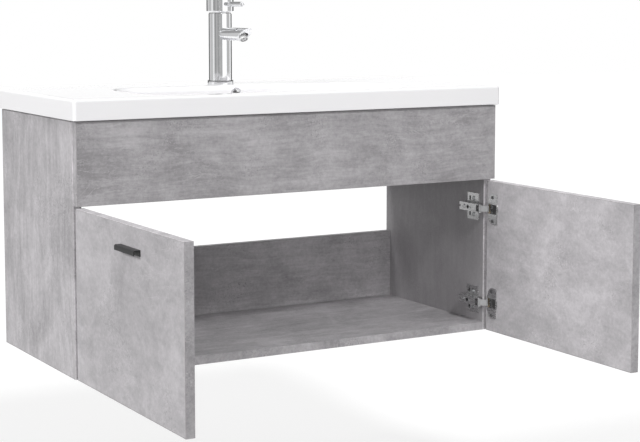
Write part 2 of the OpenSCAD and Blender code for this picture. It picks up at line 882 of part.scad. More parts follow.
// Handle on the closed right door: a bent strip with its lip turned down
module handle() {
  color(black) on_open_door()
    translate([handle_mid_x - handle_l / 2, door_out_y, handle_z1])
      rotate([90, 0, 90]) mirror([1, 0, 0]) linear_extrude(handle_l) handle_section();
}

module handle_studs() {
  color(steel) on_open_door()
    for (s = [-1, 1])
      rod_y([handle_mid_x + s * stud_spacing / 2, door_out_y, handle_z1 - handle_h / 2], stud_d, stud_l);
}

// Basin

// Rounded plate between two corners
module soft_plate(low, high, r, h) {
  for (x = [low.x + r, high.x - r])
    for (y = [low.y + r, high.y - r])
      translate([x, y, low.z]) cylinder(r = r, h = h);
}

// The bowl's hollow, or its outside where it is grown by g, up to a height
module bowl_form(g, z1) {
  $fn = 32;
  hull() {
    soft_plate([-bowl_x - g, bowl_y0 - g, upright_z], [bowl_x + g, bowl_y1 + g, upright_z],
               bowl_corner_r + g, z1 - upright_z);
    for (x = [-1, 1])
      for (y = [bowl_y0 + bowl_draw_y + bowl_floor_r, bowl_y1 - bowl_draw_y - bowl_floor_r])
        translate([x * (bowl_x - bowl_draw - bowl_floor_r), y, bowl_floor_z + bowl_floor_r])
          sphere(r = bowl_floor_r + g);
  }
}

// Slab with a hollow underside, and a ground seat that stands on the cabinet's edges
module basin_blank() {
  difference() {
    union() {
      block([-basin_x, basin_y, rim_z], [basin_x, 0, deck_z]);
      block([-side_x + seat_in, front_y + seat_in, top_z], [side_x - seat_in, -seat_in, rim_z + eps]);
    }
    block([-basin_x + rim_t, basin_y + rim_t, top_z - eps], [basin_x - rim_t, -rim_t, deck_z - deck_t]);
  }
}

module basin() {
  difference() {
    union() {
      basin_blank();
      bowl_form(bowl_t, deck_z - deck_t / 2);
    }
    bowl_form(0, deck_z + cut);
    translate([0, tap_y, deck_z - deck_t - eps]) cylinder(d = tap_hole_d, h = deck_t + 2 * eps);
    translate([0, bowl_mid_y, bowl_under_z - eps]) cylinder(d = waste_hole_d, h = bowl_t + cut);
    translate([0, bowl_mid_y, waste_face_z]) cylinder(d = waste_recess_d, h = waste_flange_t + cut);
    rod_y([0, bowl_y1 - cut, overflow_z], overflow_sleeve_d + 2 * fit_gap, bowl_t + 2 * cut);
  }
}

// The basin is one ceramic piece. It is drawn in blocks that touch, each of a simple form: five
// round the bowl's mouth, and three for the bowl below its upright wall
module bowl_block() {
  block([-wall_x, wall_y0, bowl_under_z - cut], [wall_x, wall_y1, upright_z]);
}

module deck_part(low, high) {
  color(white) difference() {
    intersection() {
      basin();
      block(low, high);
    }
    bowl_block();
  }
}

module bowl_part(low, high) {
  color(white) intersection() {
    basin();
    bowl_block();
    block(low, high);
  }
}

module basin_ends() {
  both_sides() deck_part([bowl_x, basin_y - cut, top_z - cut], [basin_x + cut, cut, deck_z + cut]);
}

module basin_front_rim() {
  deck_part([-bowl_x, basin_y - cut, top_z - cut], [bowl_x, bowl_y0, deck_z + cut]);
}

module basin_ledges() {
  both_sides() deck_part([tap_land_x, bowl_y1, top_z - cut], [bowl_x, cut, deck_z + cut]);
}

module basin_tap_land() {
  deck_part([-tap_land_x, bowl_y1, top_z - cut], [tap_land_x, cut, deck_z + cut]);
}

module basin_corners() {
  both_sides() deck_part([corner_x, bowl_y0, upright_z - cut], [bowl_x, bowl_y1, deck_z + cut]);
}

module bowl_tray() {
  bowl_part([-wall_x, wall_y0, bowl_under_z - cut], [wall_x, wall_y1, tray_z]);
}

module bowl_walls() {
  bowl_part([-bowl_end_x, wall_y0, tray_z], [bowl_end_x, wall_y1, upright_z]);
}

module bowl_ends() {
  both_sides() bowl_part([bowl_end_x, wall_y0, tray_z], [wall_x, wall_y1, upright_z]);
}

module overflow_ring() {
  color(chrome) difference() {
    union() {
      rod_y([0, bowl_y1 - overflow_flange_t, overflow_z], overflow_d, overflow_flange_t);
      rod_y([0, bowl_y1 - overflow_flange_t, overflow_z], overflow_sleeve_d,
            overflow_sleeve + overflow_flange_t);
    }
    rod_y([0, bowl_y1 - overflow_flange_t - eps, overflow_z], overflow_bore,
          overflow_sleeve + overflow_flange_t + 2 * eps);
  }
}

// Waste: flange and tube, with a spider that guides the plug's stem. A relief parts the thread of
// the back nut from the tail, on which the trap is screwed
module waste_body() {
  color(chrome) translate([0, bowl_mid_y, 0]) difference() {
    union() {
      difference() {
        union() {
          translate([0, 0, waste_face_z]) cylinder(d = waste_flange_d, h = waste_flange_t);
          translate([0, 0, waste_relief_top])
            cylinder(d = waste_d, h = waste_face_z - waste_relief_top + eps);
          translate([0, 0, waste_end_z])
            cylinder(d = waste_d - 2 * waste_relief_in, h = waste_l + eps);
          translate([0, 0, waste_end_z]) cylinder(d = waste_d, h = waste_tail_z - waste_end_z);
        }
        translate([0, 0, waste_end_z - eps])
          cylinder(d = waste_bore, h = waste_l + waste_flange_t + 2 * eps);
      }
      for (a = [0, 90])
        translate([0, 0, waste_face_z - spider_drop]) rotate([0, 0, a])
          block([-waste_bore / 2 - cut, -spider_rib / 2, 0],
                [waste_bore / 2 + cut, spider_rib / 2, spider_t]);
      translate([0, 0, waste_face_z - spider_drop]) cylinder(d = spider_hub_d, h = spider_t);
    }
    translate([0, 0, waste_face_z - spider_drop - eps])
      cylinder(d = stem_d + 2 * fit_gap, h = spider_t + 2 * eps);
  }
}

module waste_seal() {
  color(black) translate([0, bowl_mid_y, bowl_under_z - waste_seal_t]) difference() {
    cylinder(d = waste_seal_d, h = waste_seal_t);
    translate([0, 0, -eps]) cylinder(d = waste_d + 2 * fit_gap, h = waste_seal_t + 2 * eps);
  }
}

module waste_nut() {
  color(zinc) translate([0, bowl_mid_y, bowl_under_z - waste_seal_t - waste_nut_t]) difference() {
    cylinder(d = waste_nut_d, h = waste_nut_t, $fn = 6);
    translate([0, 0, -eps]) cylinder(d = waste_d + 2 * fit_gap, h = waste_nut_t + 2 * eps);
  }
}

// Push plug, drawn lifted
module waste_plug() {
  lifted_z = waste_top_z + plug_lift + seat_gap;
  color(chrome) translate([0, bowl_mid_y, 0]) {
    translate([0, 0, lifted_z + plug_t - plug_edge])
      cylinder(d1 = plug_d, d2 = plug_d - 2 * plug_bevel, h = plug_edge);
    translate([0, 0, lifted_z]) cylinder(d = plug_d, h = plug_t - plug_edge);
    translate([0, 0, lifted_z - stem_l]) cylinder(d = stem_d, h = stem_l + eps);
  }
}

// Tap

module tap_base_ring() {
  color(chrome) translate([0, tap_y, deck_z]) difference() {
    cylinder(d = base_ring_d, h = base_ring_t);
    translate([0, 0, -eps]) cylinder(d = tap_hole_d, h = base_ring_t + 2 * eps);
  }
}

// Body: a tube with a thick sole, a seat for the cartridge and a port for the spout
module tap_body() {
  color(chrome) translate([0, tap_y, 0]) difference() {
    translate([0, 0, tap_base_z]) cylinder(r = tap_r, h = tap_top_z - tap_base_z);
    translate([0, 0, tap_base_z + tap_sole_t])
      cylinder(r = bore_r, h = cartridge_z0 - cartridge_seat_t - tap_base_z - tap_sole_t);
    translate([0, 0, cartridge_z0]) cylinder(r = bore_r, h = tap_h);
    translate([0, 0, cartridge_z0 - cartridge_seat_t - eps])
      cylinder(r = bore_r / 2, h = cartridge_seat_t + 2 * eps);
    rod_y([0, -tap_r - cut, spout_z], spout_d + 2 * fit_gap, tap_wall + 2 * cut);
    translate([0, stud_y - tap_y, tap_base_z - eps])
      cylinder(d = tap_stud_d + 2 * fit_gap, h = stud_in + fit_gap + eps);
    for (s = [-1, 1])
      translate([s * inlet_x, inlet_y - tap_y, tap_base_z - eps]) cylinder(r = inlet_r, h = inlet_l + eps);
  }
}

// Spout: a tube with its end cut on a slant, so its mouth looks forward and down
module tap_spout() {
  color(chrome) translate([0, tap_y, spout_z]) difference() {
    rod_y([0, -spout_reach, 0], spout_d, spout_reach - spout_in);
    translate([0, -spout_reach, spout_d / 2]) rotate([-spout_cut_angle, 0, 0])
      block([-spout_d, -spout_reach, -spout_reach], [spout_d, spout_reach, 0]);
    aerator_place() translate([0, 0, -2 * eps])
      cylinder(d = aerator_d + 2 * fit_gap, h = aerator_l + fit_gap);
    rod_y([0, -spout_reach + spout_cut + spout_bore_end, 0], spout_d - 2 * spout_wall, spout_reach);
  }
}

// Children placed on the spout's slanted mouth, +Z into the spout
module aerator_place() {
  translate([0, -spout_reach, spout_d / 2]) rotate([-spout_cut_angle, 0, 0])
    translate([0, aerator_back, 0]) children();
}

module aerator() {
  color(steel) translate([0, tap_y, spout_z]) aerator_place() difference() {
    cylinder(d = aerator_d, h = aerator_l);
    translate([0, 0, -eps]) cylinder(d = aerator_d - 2 * aerator_rim, h = aerator_rim_t + eps);
    for (i = [-2:2])
      translate([i * aerator_hole_step, 0, aerator_rim_t - eps])
        cylinder(d = aerator_hole_d, h = aerator_rim_t);
  }
}

module cartridge() {
  color(white) translate([0, tap_y, cartridge_z0]) difference() {
    cylinder(d = cartridge_d, h = cartridge_h);
    translate([0, 0, cartridge_h - turret_well]) cylinder(r = turret_r + seat_gap, h = turret_well + eps);
  }
}

module cartridge_nut() {
  color(chrome) translate([0, tap_y, cartridge_z1]) difference() {
    cylinder(r = bore_r - fit_gap, h = nut_t);
    translate([0, 0, -eps]) cylinder(r = turret_bore_r, h = nut_t + 2 * eps);
  }
}

// Turret: turns with the lever, and its domed top holds the stem's trunnions
module lever_turret() {
  color(zinc) translate([0, tap_y, 0]) difference() {
    union() {
      translate([0, 0, cartridge_z1 - turret_foot]) cylinder(r = turret_r, h = turret_foot + dome_r);
      intersection() {
        translate([0, 0, tilt_z]) sphere(r = dome_r);
        translate([0, 0, tap_top_z + seat_gap]) cylinder(r = dome_r, h = dome_r);
      }
    }
    block([-slot_half, -dome_r, tilt_z - slot_down], [slot_half, dome_r, tilt_z + dome_r + cut]);
    rod_x([-dome_r, 0, tilt_z], 2 * trunnion_r + 2 * fit_gap, 2 * dome_r);
  }
}

// Stem: tilts on two trunnions and carries the head
module lever_stem() {
  color(zinc) translate([0, tap_y, 0]) {
    block([-stem_half, -stem_half, tilt_z - stem_down], [stem_half, stem_half, stem_top_z]);
    rod_x([-turret_r + trunnion_in, 0, tilt_z], 2 * trunnion_r, 2 * (turret_r - trunnion_in));
  }
}

// Head: a cap over the turret with a socket for the stem
module lever_head() {
  color(chrome) translate([0, tap_y, 0]) difference() {
    union() {
      translate([0, 0, head_z0]) cylinder(d = head_d, h = head_h - head_dome);
      translate([0, 0, head_z1 - head_dome])
        cylinder(d1 = head_d, d2 = head_d - 2 * head_bevel, h = head_dome);
    }
    translate([0, 0, head_z0 - eps])
      cylinder(d = head_d - 2 * head_wall, h = head_h - head_dome - cap_t + eps);
    rod_y([0, -head_d / 2 - cut, rod_z], rod_d + 2 * fit_gap, head_wall + 2 * cut);
  }
  color(chrome) translate([0, tap_y, 0]) difference() {
    translate([0, 0, socket_z]) cylinder(r = stem_half + socket_wall, h = head_z1 - head_dome - socket_z);
    block([-stem_half - fit_gap, -stem_half - fit_gap, socket_z - eps],
          [stem_half + fit_gap, stem_half + fit_gap, stem_top_z + fit_gap]);
  }
}

module lever_rod() {
  color(chrome) translate([0, tap_y, rod_z]) {
    rod_y([0, -rod_reach + rod_d / 2, 0], rod_d, rod_reach - rod_d / 2 - head_d / 2 + head_wall);
    translate([0, -rod_reach + rod_d / 2, 0]) sphere(d = rod_d);
  }
}

module tap_stud() {
  color(steel) translate([0, stud_y, stud_z0])
    cylinder(d = tap_stud_d, h = tap_base_z + stud_in - stud_z0);
}

// A plate under the deck with a notch for the hoses
module horseshoe(z, t) {
  translate([0, tap_y, z]) difference() {
    cylinder(d = washer_d, h = t);
    block([-inlet_x - inlet_r - hose_gap, -washer_d, -eps],
          [inlet_x + inlet_r + hose_gap, cut, t + eps]);
    translate([0, stud_y - tap_y, -eps]) cylinder(d = tap_stud_d + 2 * fit_gap, h = t + 2 * eps);
  }
}

module tap_gasket() {
  color(black) horseshoe(deck_z - deck_t - gasket_t, gasket_t);
}

module tap_washer() {
  color(zinc) horseshoe(deck_z - deck_t - gasket_t - washer_t, washer_t);
}

module tap_nut() {
  color(steel) translate([0, stud_y, deck_z - deck_t - gasket_t - washer_t - tap_nut_t]) difference() {
    cylinder(d = tap_nut_d, h = tap_nut_t, $fn = 6);
    translate([0, 0, -eps]) cylinder(d = tap_stud_d + 2 * fit_gap, h = tap_nut_t + 2 * eps);
  }
}

// Every node

mirror([1, 0, 0]) side_panel();  // side_panel_left
side_panel();  // side_panel_right
floor_panel();
apron_panel();
back_rail_lower();
back_rail_upper();
dowels();
cam_bolts();
cam_housings();
mirror([1, 0, 0]) hanging_bracket();  // hanging_bracket_left
hanging_bracket();  // hanging_bracket_right
bracket_screws();
hinge_plates();
hinge_arms();
plate_screws();
arm_clamp_screws();
arm_adjusting_screws();
hinge_pins();
mirror([1, 0, 0]) hinge_link(hinge_zs[0]);  // hinge_link_left_lower
mirror([1, 0, 0]) hinge_link(hinge_zs[1]);  // hinge_link_left_upper
hinge_link(hinge_zs[0]);  // hinge_link_right_lower
hinge_link(hinge_zs[1]);  // hinge_link_right_upper
mirror([1, 0, 0]) hinge_cups();  // hinge_cups_left
hinge_cups();  // hinge_cups_right
mirror([1, 0, 0]) cup_screws();  // cup_screws_left
cup_screws();  // cup_screws_right
mirror([1, 0, 0]) door();  // door_left
door();  // door_right
mirror([1, 0, 0]) handle();  // handle_left
handle();  // handle_right
mirror([1, 0, 0]) handle_studs();  // handle_studs_left
handle_studs();  // handle_studs_right
basin_ends();
basin_front_rim();
basin_ledges();
basin_tap_land();
basin_corners();
bowl_tray();
bowl_walls();
bowl_ends();
overflow_ring();
waste_body();
waste_seal();
waste_nut();
waste_plug();
tap_base_ring();
tap_body();
tap_spout();
aerator();
cartridge();
cartridge_nut();
lever_turret();
lever_stem();
lever_head();
lever_rod();
tap_stud();
tap_gasket();
tap_washer();
tap_nut();
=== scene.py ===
"""A wall-hung vanity unit in concrete-look board, with a ceramic basin and a single-lever tap."""

import json
import math

import bmesh
import bpy
from mathutils import Matrix, Vector

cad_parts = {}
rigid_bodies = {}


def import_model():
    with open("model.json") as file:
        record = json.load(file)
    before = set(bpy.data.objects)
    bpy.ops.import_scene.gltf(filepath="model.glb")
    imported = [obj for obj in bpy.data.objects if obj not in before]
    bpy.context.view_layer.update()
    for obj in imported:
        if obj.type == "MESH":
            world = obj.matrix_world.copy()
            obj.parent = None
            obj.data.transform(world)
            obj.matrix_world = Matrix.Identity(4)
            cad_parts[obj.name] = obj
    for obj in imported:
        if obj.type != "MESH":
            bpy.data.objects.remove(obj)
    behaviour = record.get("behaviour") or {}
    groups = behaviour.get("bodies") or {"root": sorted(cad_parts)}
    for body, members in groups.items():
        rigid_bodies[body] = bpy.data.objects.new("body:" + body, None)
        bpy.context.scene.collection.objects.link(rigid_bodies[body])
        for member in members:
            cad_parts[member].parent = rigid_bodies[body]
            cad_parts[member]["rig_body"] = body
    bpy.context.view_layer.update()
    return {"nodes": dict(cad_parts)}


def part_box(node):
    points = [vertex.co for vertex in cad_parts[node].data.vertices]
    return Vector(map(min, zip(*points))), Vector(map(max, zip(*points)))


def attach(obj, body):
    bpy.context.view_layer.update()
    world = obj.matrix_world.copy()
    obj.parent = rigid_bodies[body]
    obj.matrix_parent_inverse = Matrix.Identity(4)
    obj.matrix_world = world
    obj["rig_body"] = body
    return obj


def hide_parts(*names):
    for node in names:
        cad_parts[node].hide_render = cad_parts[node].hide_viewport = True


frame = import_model()

# Camera. It stands to the left of the cabinet and a little above the basin, looks slightly down,
# and its small upward shift keeps the cabinet's upright edges nearly parallel.
camera_at = Vector((-1.4883, -3.0428, 0.2534))
camera_turn = math.radians(29.924)
camera_dip = math.radians(5.789)
camera_lens = 91.546
camera_shift = 60 / 640

camera = bpy.data.objects.new("camera", bpy.data.cameras.new("camera"))
camera.location = camera_at
camera.rotation_euler = (math.pi / 2 - camera_dip, 0, -camera_turn)
camera.data.lens = camera_lens
camera.data.shift_y = -camera_shift
camera.data.dof.use_dof = False
bpy.context.scene.collection.objects.link(camera)
bpy.context.scene.camera = camera
bpy.context.scene.view_settings.view_transform = "Standard"

# Studio floor. A pale painted floor lies a basin's usual 850 mm below the rim, and fades into a
# white surround. It isn't part of the vanity unit.
cad_deck_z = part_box("basin_ends")[1].z
floor_drop = 0.85
floor_reach = 14
floor_tone = 0.22
floor_mottle = 0.01
floor_white = 0.45
floor_glow = 0.60
floor_rough = 0.85


def new_finish(name, colour, rough, metal=0.0):
    """A finish with one shader, whose even values are set on the shader itself"""
    finish = bpy.data.materials.new(name)
    finish.use_nodes = True
    shader = finish.node_tree.nodes["Principled BSDF"]
    shader.inputs["Base Color"].default_value = (*colour, 1)
    shader.inputs["Roughness"].default_value = rough
    shader.inputs["Metallic"].default_value = metal
    return finish, shader


def coat(finish, kind, sockets, **settings):
    """Adds one layer to a finish. A socket is given a value, or another layer's output"""
    layer = finish.node_tree.nodes.new("ShaderNode" + kind)
    for name, value in settings.items():
        setattr(layer, name, value)
    for name, value in sockets.items():
        if isinstance(value, bpy.types.NodeSocket):
            finish.node_tree.links.new(value, layer.inputs[name])
        else:
            layer.inputs[name].default_value = value
    return layer


def own_place(finish):
    """Where a point lies in the piece's own frame"""
    return coat(finish, "TexCoord", {}).outputs["Object"]


def noise(finish, scale, detail, at=None, output="Fac", **more):
    """A cloudy pattern from 0 to 1. scale is how many clouds lie in a metre"""
    if at is None:
        at = own_place(finish)
    sockets = {"Vector": at, "Scale": scale, "Detail": detail, **more}
    return coat(finish, "TexNoise", sockets).outputs[output]


def shades(finish, source, stops):
    """Turns a grey pattern into shades: stops are (place, colour)"""
    ramp = coat(finish, "ValToRGB", {"Fac": source})
    while len(ramp.color_ramp.elements) < len(stops):
        ramp.color_ramp.elements.new(0.5)
    for stop, (place, colour) in zip(ramp.color_ramp.elements, stops):
        stop.position = place
        stop.color = (*colour, 1)
    return ramp.outputs["Color"]


def grey(value):
    """The same grey in all three colours"""
    return (value, value, value)


def spread(finish, source, low, high):
    """Spreads a pattern that runs from 0 to 1 over a range of values"""
    layer = coat(finish, "MapRange", {"Value": source, "To Min": low, "To Max": high})
    return layer.outputs["Result"]


def join(finish, layer_output, shader, socket):
    """Feeds a layer's output to the shader"""
    finish.node_tree.links.new(layer_output, shader.inputs[socket])


def feel(finish, shader, source, height, strength):
    """Raises the surface by a pattern, height metres at the most"""
    relief = coat(finish, "Bump", {"Height": source, "Distance": height, "Strength": strength})
    join(finish, relief.outputs["Normal"], shader, "Normal")


def white_to_the_eye(tree, plain, white, surface):
    """Lays white over a plain surface where the camera or a mirror looks at it"""
    ray = tree.nodes.new("ShaderNodeLightPath")
    mirrored = tree.nodes.new("ShaderNodeMath")
    seen = tree.nodes.new("ShaderNodeMath")
    mirrored.operation = seen.operation = "MAXIMUM"
    lay = tree.nodes.new("ShaderNodeMixShader")
    tree.links.new(ray.outputs["Is Glossy Ray"], mirrored.inputs[0])
    tree.links.new(ray.outputs["Is Transmission Ray"], mirrored.inputs[1])
    tree.links.new(ray.outputs["Is Camera Ray"], seen.inputs[0])
    tree.links.new(mirrored.outputs[0], seen.inputs[1])
    tree.links.new(seen.outputs[0], lay.inputs[0])
    tree.links.new(plain, lay.inputs[1])
    tree.links.new(white, lay.inputs[2])
    tree.links.new(lay.outputs[0], surface)


floor_paint, shader = new_finish("floor_paint", grey(floor_tone), floor_rough)
mottled = shades(floor_paint, noise(floor_paint, 1.5, 4), [(0.3, grey(floor_tone - floor_mottle)),
                                                           (0.7, grey(floor_tone + floor_mottle))])
join(floor_paint, mottled, shader, "Base Color")
pale = coat(floor_paint, "BsdfDiffuse", {"Color": (*grey(floor_white), 1)})
glow = coat(floor_paint, "Emission", {"Color": (*grey(1), 1), "Strength": floor_glow})
white = coat(floor_paint, "AddShader", {0: pale.outputs[0], 1: glow.outputs[0]})
surface = floor_paint.node_tree.nodes["Material Output"].inputs["Surface"]
white_to_the_eye(floor_paint.node_tree, shader.outputs[0], white.outputs[0], surface)

ground = bmesh.new()
bmesh.ops.create_grid(ground, x_segments=8, y_segments=8, size=floor_reach)
floor_mesh = bpy.data.meshes.new("studio_floor")
ground.to_mesh(floor_mesh)
ground.free()
studio_floor = bpy.data.objects.new("studio_floor", floor_mesh)
studio_floor.location.z = cad_deck_z - floor_drop
floor_mesh.materials.append(floor_paint)
bpy.context.scene.collection.objects.link(studio_floor)

# Studio light. One broad light comes from the left and above, a smaller one from the front and
# above, and a faint one from the camera's side reaches inside. The white surround gives the
# rest. The camera and polished metal see it as white.
surround_light = 0.40
# Each lamp: its name, the way to it, as long as it is strong, and how wide it looks.
lamps = (("side_lamp", Vector((-0.52, 0, 0.28)), math.radians(20)),
         ("front_lamp", Vector((-0.08, -0.40, 0.34)), math.radians(10)),
         ("fill_lamp", Vector((-0.105, -0.15, 0.02)), math.radians(20)))

world = bpy.data.worlds.new("studio")
bpy.context.scene.world = world
world.use_nodes = True
sky = world.node_tree
sky.nodes.clear()
even = sky.nodes.new("ShaderNodeBackground")
even.inputs["Color"].default_value = (*grey(1), 1)
even.inputs["Strength"].default_value = surround_light
plain = sky.nodes.new("ShaderNodeBackground")
plain.inputs["Color"].default_value = (*grey(1), 1)
out = sky.nodes.new("ShaderNodeOutputWorld")
white_to_the_eye(sky, even.outputs[0], plain.outputs[0], out.inputs["Surface"])

for name, way, wide in lamps:
    lamp = bpy.data.objects.new(name, bpy.data.lights.new(name, "SUN"))
    lamp.data.energy = way.length * math.pi
    lamp.data.angle = wide
    lamp.rotation_euler = way.to_track_quat("Z", "Y").to_euler()
    bpy.context.scene.collection.objects.link(lamp)

# Side panels. 16 mm chipboard faced with a concrete print, with the grain upright. A thin edging
# strip is ironed on the edges that show, and the edge against the wall is left raw.
print_mid = (0.402, 0.388, 0.402)
print_rough = 0.55
rough_down = 0.06
rough_up = 0.08
print_relief = 0.00015
sway_reach = 0.05
clouds_per_m = 7
sand_per_m = 170
grit_per_m = 330
hair_finer = 3.2
hair_share = 0.40
brush_share = 0.46
sand_share = 0.22
ink_dark = 0.30
ink_pale = 0.34
wisp_half_w = 0.014
wisp_pale = 1.38
pit_dark = 0.52
fleck_pale = 1.45
upright_brush = (60, 60, 7)
edging_tone = 0.86
# How much paler the strip is on the edges that take painted light.
edge_light_tone = 1.40
# How much darker and fainter the print is on the faces inside the cabinet: painted shade.
inside_shade_tone = 0.80
inside_shade_ink = 0.45
chip_colour = (0.36, 0.30, 0.22)
chip_dark = (0.21, 0.17, 0.12)
chips_per_m = 380
glue_colour = (0.20, 0.19, 0.19)
glue_pale = 0.33
edging_t = 0.001
glue_t = 0.0004
edge_ease = 0.0005
face_on = 0.7
flat_angle = math.radians(1)
crease_angle = math.radians(30)


def stretched(finish, at, marks):
    """Stretches a pattern, so that so many marks lie in a metre along each axis"""
    return coat(finish, "Mapping", {"Vector": at, "Scale": marks}).outputs["Vector"]


def blend(finish, one, other, share):
    """Blends a share of the other pattern into one"""
    return coat(finish, "Mix", {"Factor": share, 2: one, 3: other}, data_type="FLOAT").outputs[0]


def mask(finish, source, low, high, full=1.0):
    """0 where the pattern is at low, and full where it is at high"""
    sockets = {"Value": source, "From Min": low, "From Max": high, "To Max": full}
    return coat(finish, "MapRange", sockets).outputs["Result"]


def patches(finish, at, scale, low, high):
    """A soft mask that is 1 inside scattered patches and 0 between them"""
    return mask(finish, noise(finish, scale, 3, at), low, high)


def times(finish, one, other):
    """The product of two masks"""
    return coat(finish, "Math", {0: one, 1: other}, operation="MULTIPLY").outputs[0]


def lay_over(finish, base, colour, where):
    """Prints a colour over a base where the mask is 1"""
    return coat(finish, "Mix", {"Factor": where, 6: base, 7: (*colour, 1)}, data_type="RGBA").outputs[2]


def concrete_print(name, brush, tone=1.0, place=(0, 0, 0), ink=1.0):
    """Printed paper that looks like cast concrete: clouds, trowel marks along the grain, pale
    wisps, and grit in patches. brush is how many marks lie in a metre along each axis, place is
    where the sheet is cut from the roll, and ink is how strongly the marks are printed"""
    mid = tuple(c * tone for c in print_mid)

    def toned(share):
        return tuple(c * share for c in mid)

    finish, shader = new_finish(name, mid, print_rough)
    at = coat(finish, "Mapping", {"Vector": own_place(finish), "Location": place}).outputs["Vector"]
    sway = noise(finish, 5, 2, at, "Color")
    small = coat(finish, "VectorMath", {"Vector": sway, "Scale": sway_reach}, operation="SCALE").outputs[0]
    bent = coat(finish, "VectorMath", {0: at, 1: small}, operation="ADD").outputs[0]
    cloud = noise(finish, clouds_per_m, 8, at, Roughness=0.66, Distortion=0.6)
    marks = noise(finish, 1, 4, stretched(finish, bent, brush), Roughness=0.6)
    finer = stretched(finish, bent, [n * hair_finer for n in brush])
    hairs = noise(finish, 1, 3, finer, Roughness=0.7)
    sand = noise(finish, sand_per_m, 4, at, Roughness=0.7)
    brushed = blend(finish, marks, hairs, hair_share)
    whole = blend(finish, blend(finish, cloud, brushed, brush_share), sand, sand_share)
    base = shades(finish, whole, [(0.40, toned(1 - ink_dark * ink)), (0.5, mid),
                                  (0.60, toned(1 + ink_pale * ink))])
    streak = stretched(finish, bent, [1 + n / 14 for n in brush])
    vein = noise(finish, 4, 5, streak, Roughness=0.6, Distortion=1.6)
    off = coat(finish, "Math", {0: vein, 1: 0.5}, operation="SUBTRACT").outputs[0]
    away = coat(finish, "Math", {0: off}, operation="ABSOLUTE").outputs[0]
    thin = mask(finish, away, wisp_half_w, 0.0, 0.55 * ink)
    wisp = times(finish, thin, patches(finish, at, 6, 0.48, 0.60))
    wisped = lay_over(finish, base, toned(wisp_pale), wisp)
    grit = noise(finish, grit_per_m, 2, at)
    gritty = patches(finish, at, 10, 0.53, 0.66)
    pits = times(finish, mask(finish, grit, 0.40, 0.32, 0.8 * ink), gritty)
    flecks = times(finish, mask(finish, grit, 0.60, 0.68, 0.7 * ink), gritty)
    pitted = lay_over(finish, wisped, toned(pit_dark), pits)
    join(finish, lay_over(finish, pitted, toned(fleck_pale), flecks), shader, "Base Color")
    worn = spread(finish, cloud, print_rough - rough_down, print_rough + rough_up)
    join(finish, worn, shader, "Roughness")
    feel(finish, shader, brushed, print_relief, 0.35)
    return finish


concrete_upright = concrete_print("concrete_print_upright", upright_brush)
# A darker, fainter copy of the print for the side panels' inner faces: painted shade inside the cabinet.
shaded_inside_print = concrete_print("concrete_print_inside_shaded", upright_brush, inside_shade_tone, (0.5, 0.2, 0.8),
                                 inside_shade_ink)
edging = concrete_print("edging_strip", (30, 30, 30), edging_tone)
# A much paler copy of the edging as painted light: on the side panels' front edges, in the doors' shadow,
# and on the doors' top edges, which face the light.
lit_edging = concrete_print("edging_strip_painted_light", (30, 30, 30), edge_light_tone)

glue, shader = new_finish("glue_line", glue_colour, 0.7)
smeared = shades(glue, noise(glue, 90, 3), [(0.35, glue_colour), (0.65, grey(glue_pale))])
join(glue, smeared, shader, "Base Color")

chipboard, shader = new_finish("raw_chipboard", chip_colour, 0.9)
chips = {"Vector": own_place(chipboard), "Scale": chips_per_m}
chip = coat(chipboard, "TexVoronoi", chips, feature="F1").outputs["Color"]
chip_tone = coat(chipboard, "RGBToBW", {"Color": chip}).outputs["Val"]
chip_shades = shades(chipboard, chip_tone, [(0.2, chip_dark), (0.75, chip_colour)])
join(chipboard, chip_shades, shader, "Base Color")
feel(chipboard, shader, chip_tone, 0.0004, 0.6)


def clean_copy(node):
    """The node's form with its seams welded and its flat faces made whole"""
    form = bmesh.new()
    form.from_mesh(frame["nodes"][node].data)
    bmesh.ops.remove_doubles(form, verts=form.verts, dist=1e-6)
    bmesh.ops.dissolve_limit(form, angle_limit=flat_angle, verts=form.verts, edges=form.edges)
    return form


def ease_edges(form, width, steps=2):
    """Takes the sharpness off every hard edge"""
    hard = [e for e in form.edges if len(e.link_faces) == 2 and e.calc_face_angle() > crease_angle]
    bmesh.ops.bevel(form, geom=hard, offset=width, offset_type="OFFSET", segments=steps, profile=0.5,
                    affect="EDGES", clamp_overlap=True)


def set_out(name, form, finishes, body, nodes=()):
    """Turns a form into a piece that rides on a body and stands for its nodes"""
    mesh = bpy.data.meshes.new(name)
    form.normal_update()
    form.to_mesh(mesh)
    form.free()
    for finish in finishes:
        mesh.materials.append(finish)
    mesh.shade_smooth()
    piece = bpy.data.objects.new(name, mesh)
    bpy.context.scene.collection.objects.link(piece)
    shading = piece.modifiers.new("shading", "WEIGHTED_NORMAL")
    shading.keep_sharp = True
    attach(piece, body)
    if nodes:
        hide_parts(*nodes)
    return piece


def body_of(node):
    """The body that a node rides on"""
    return frame["nodes"][node]["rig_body"]


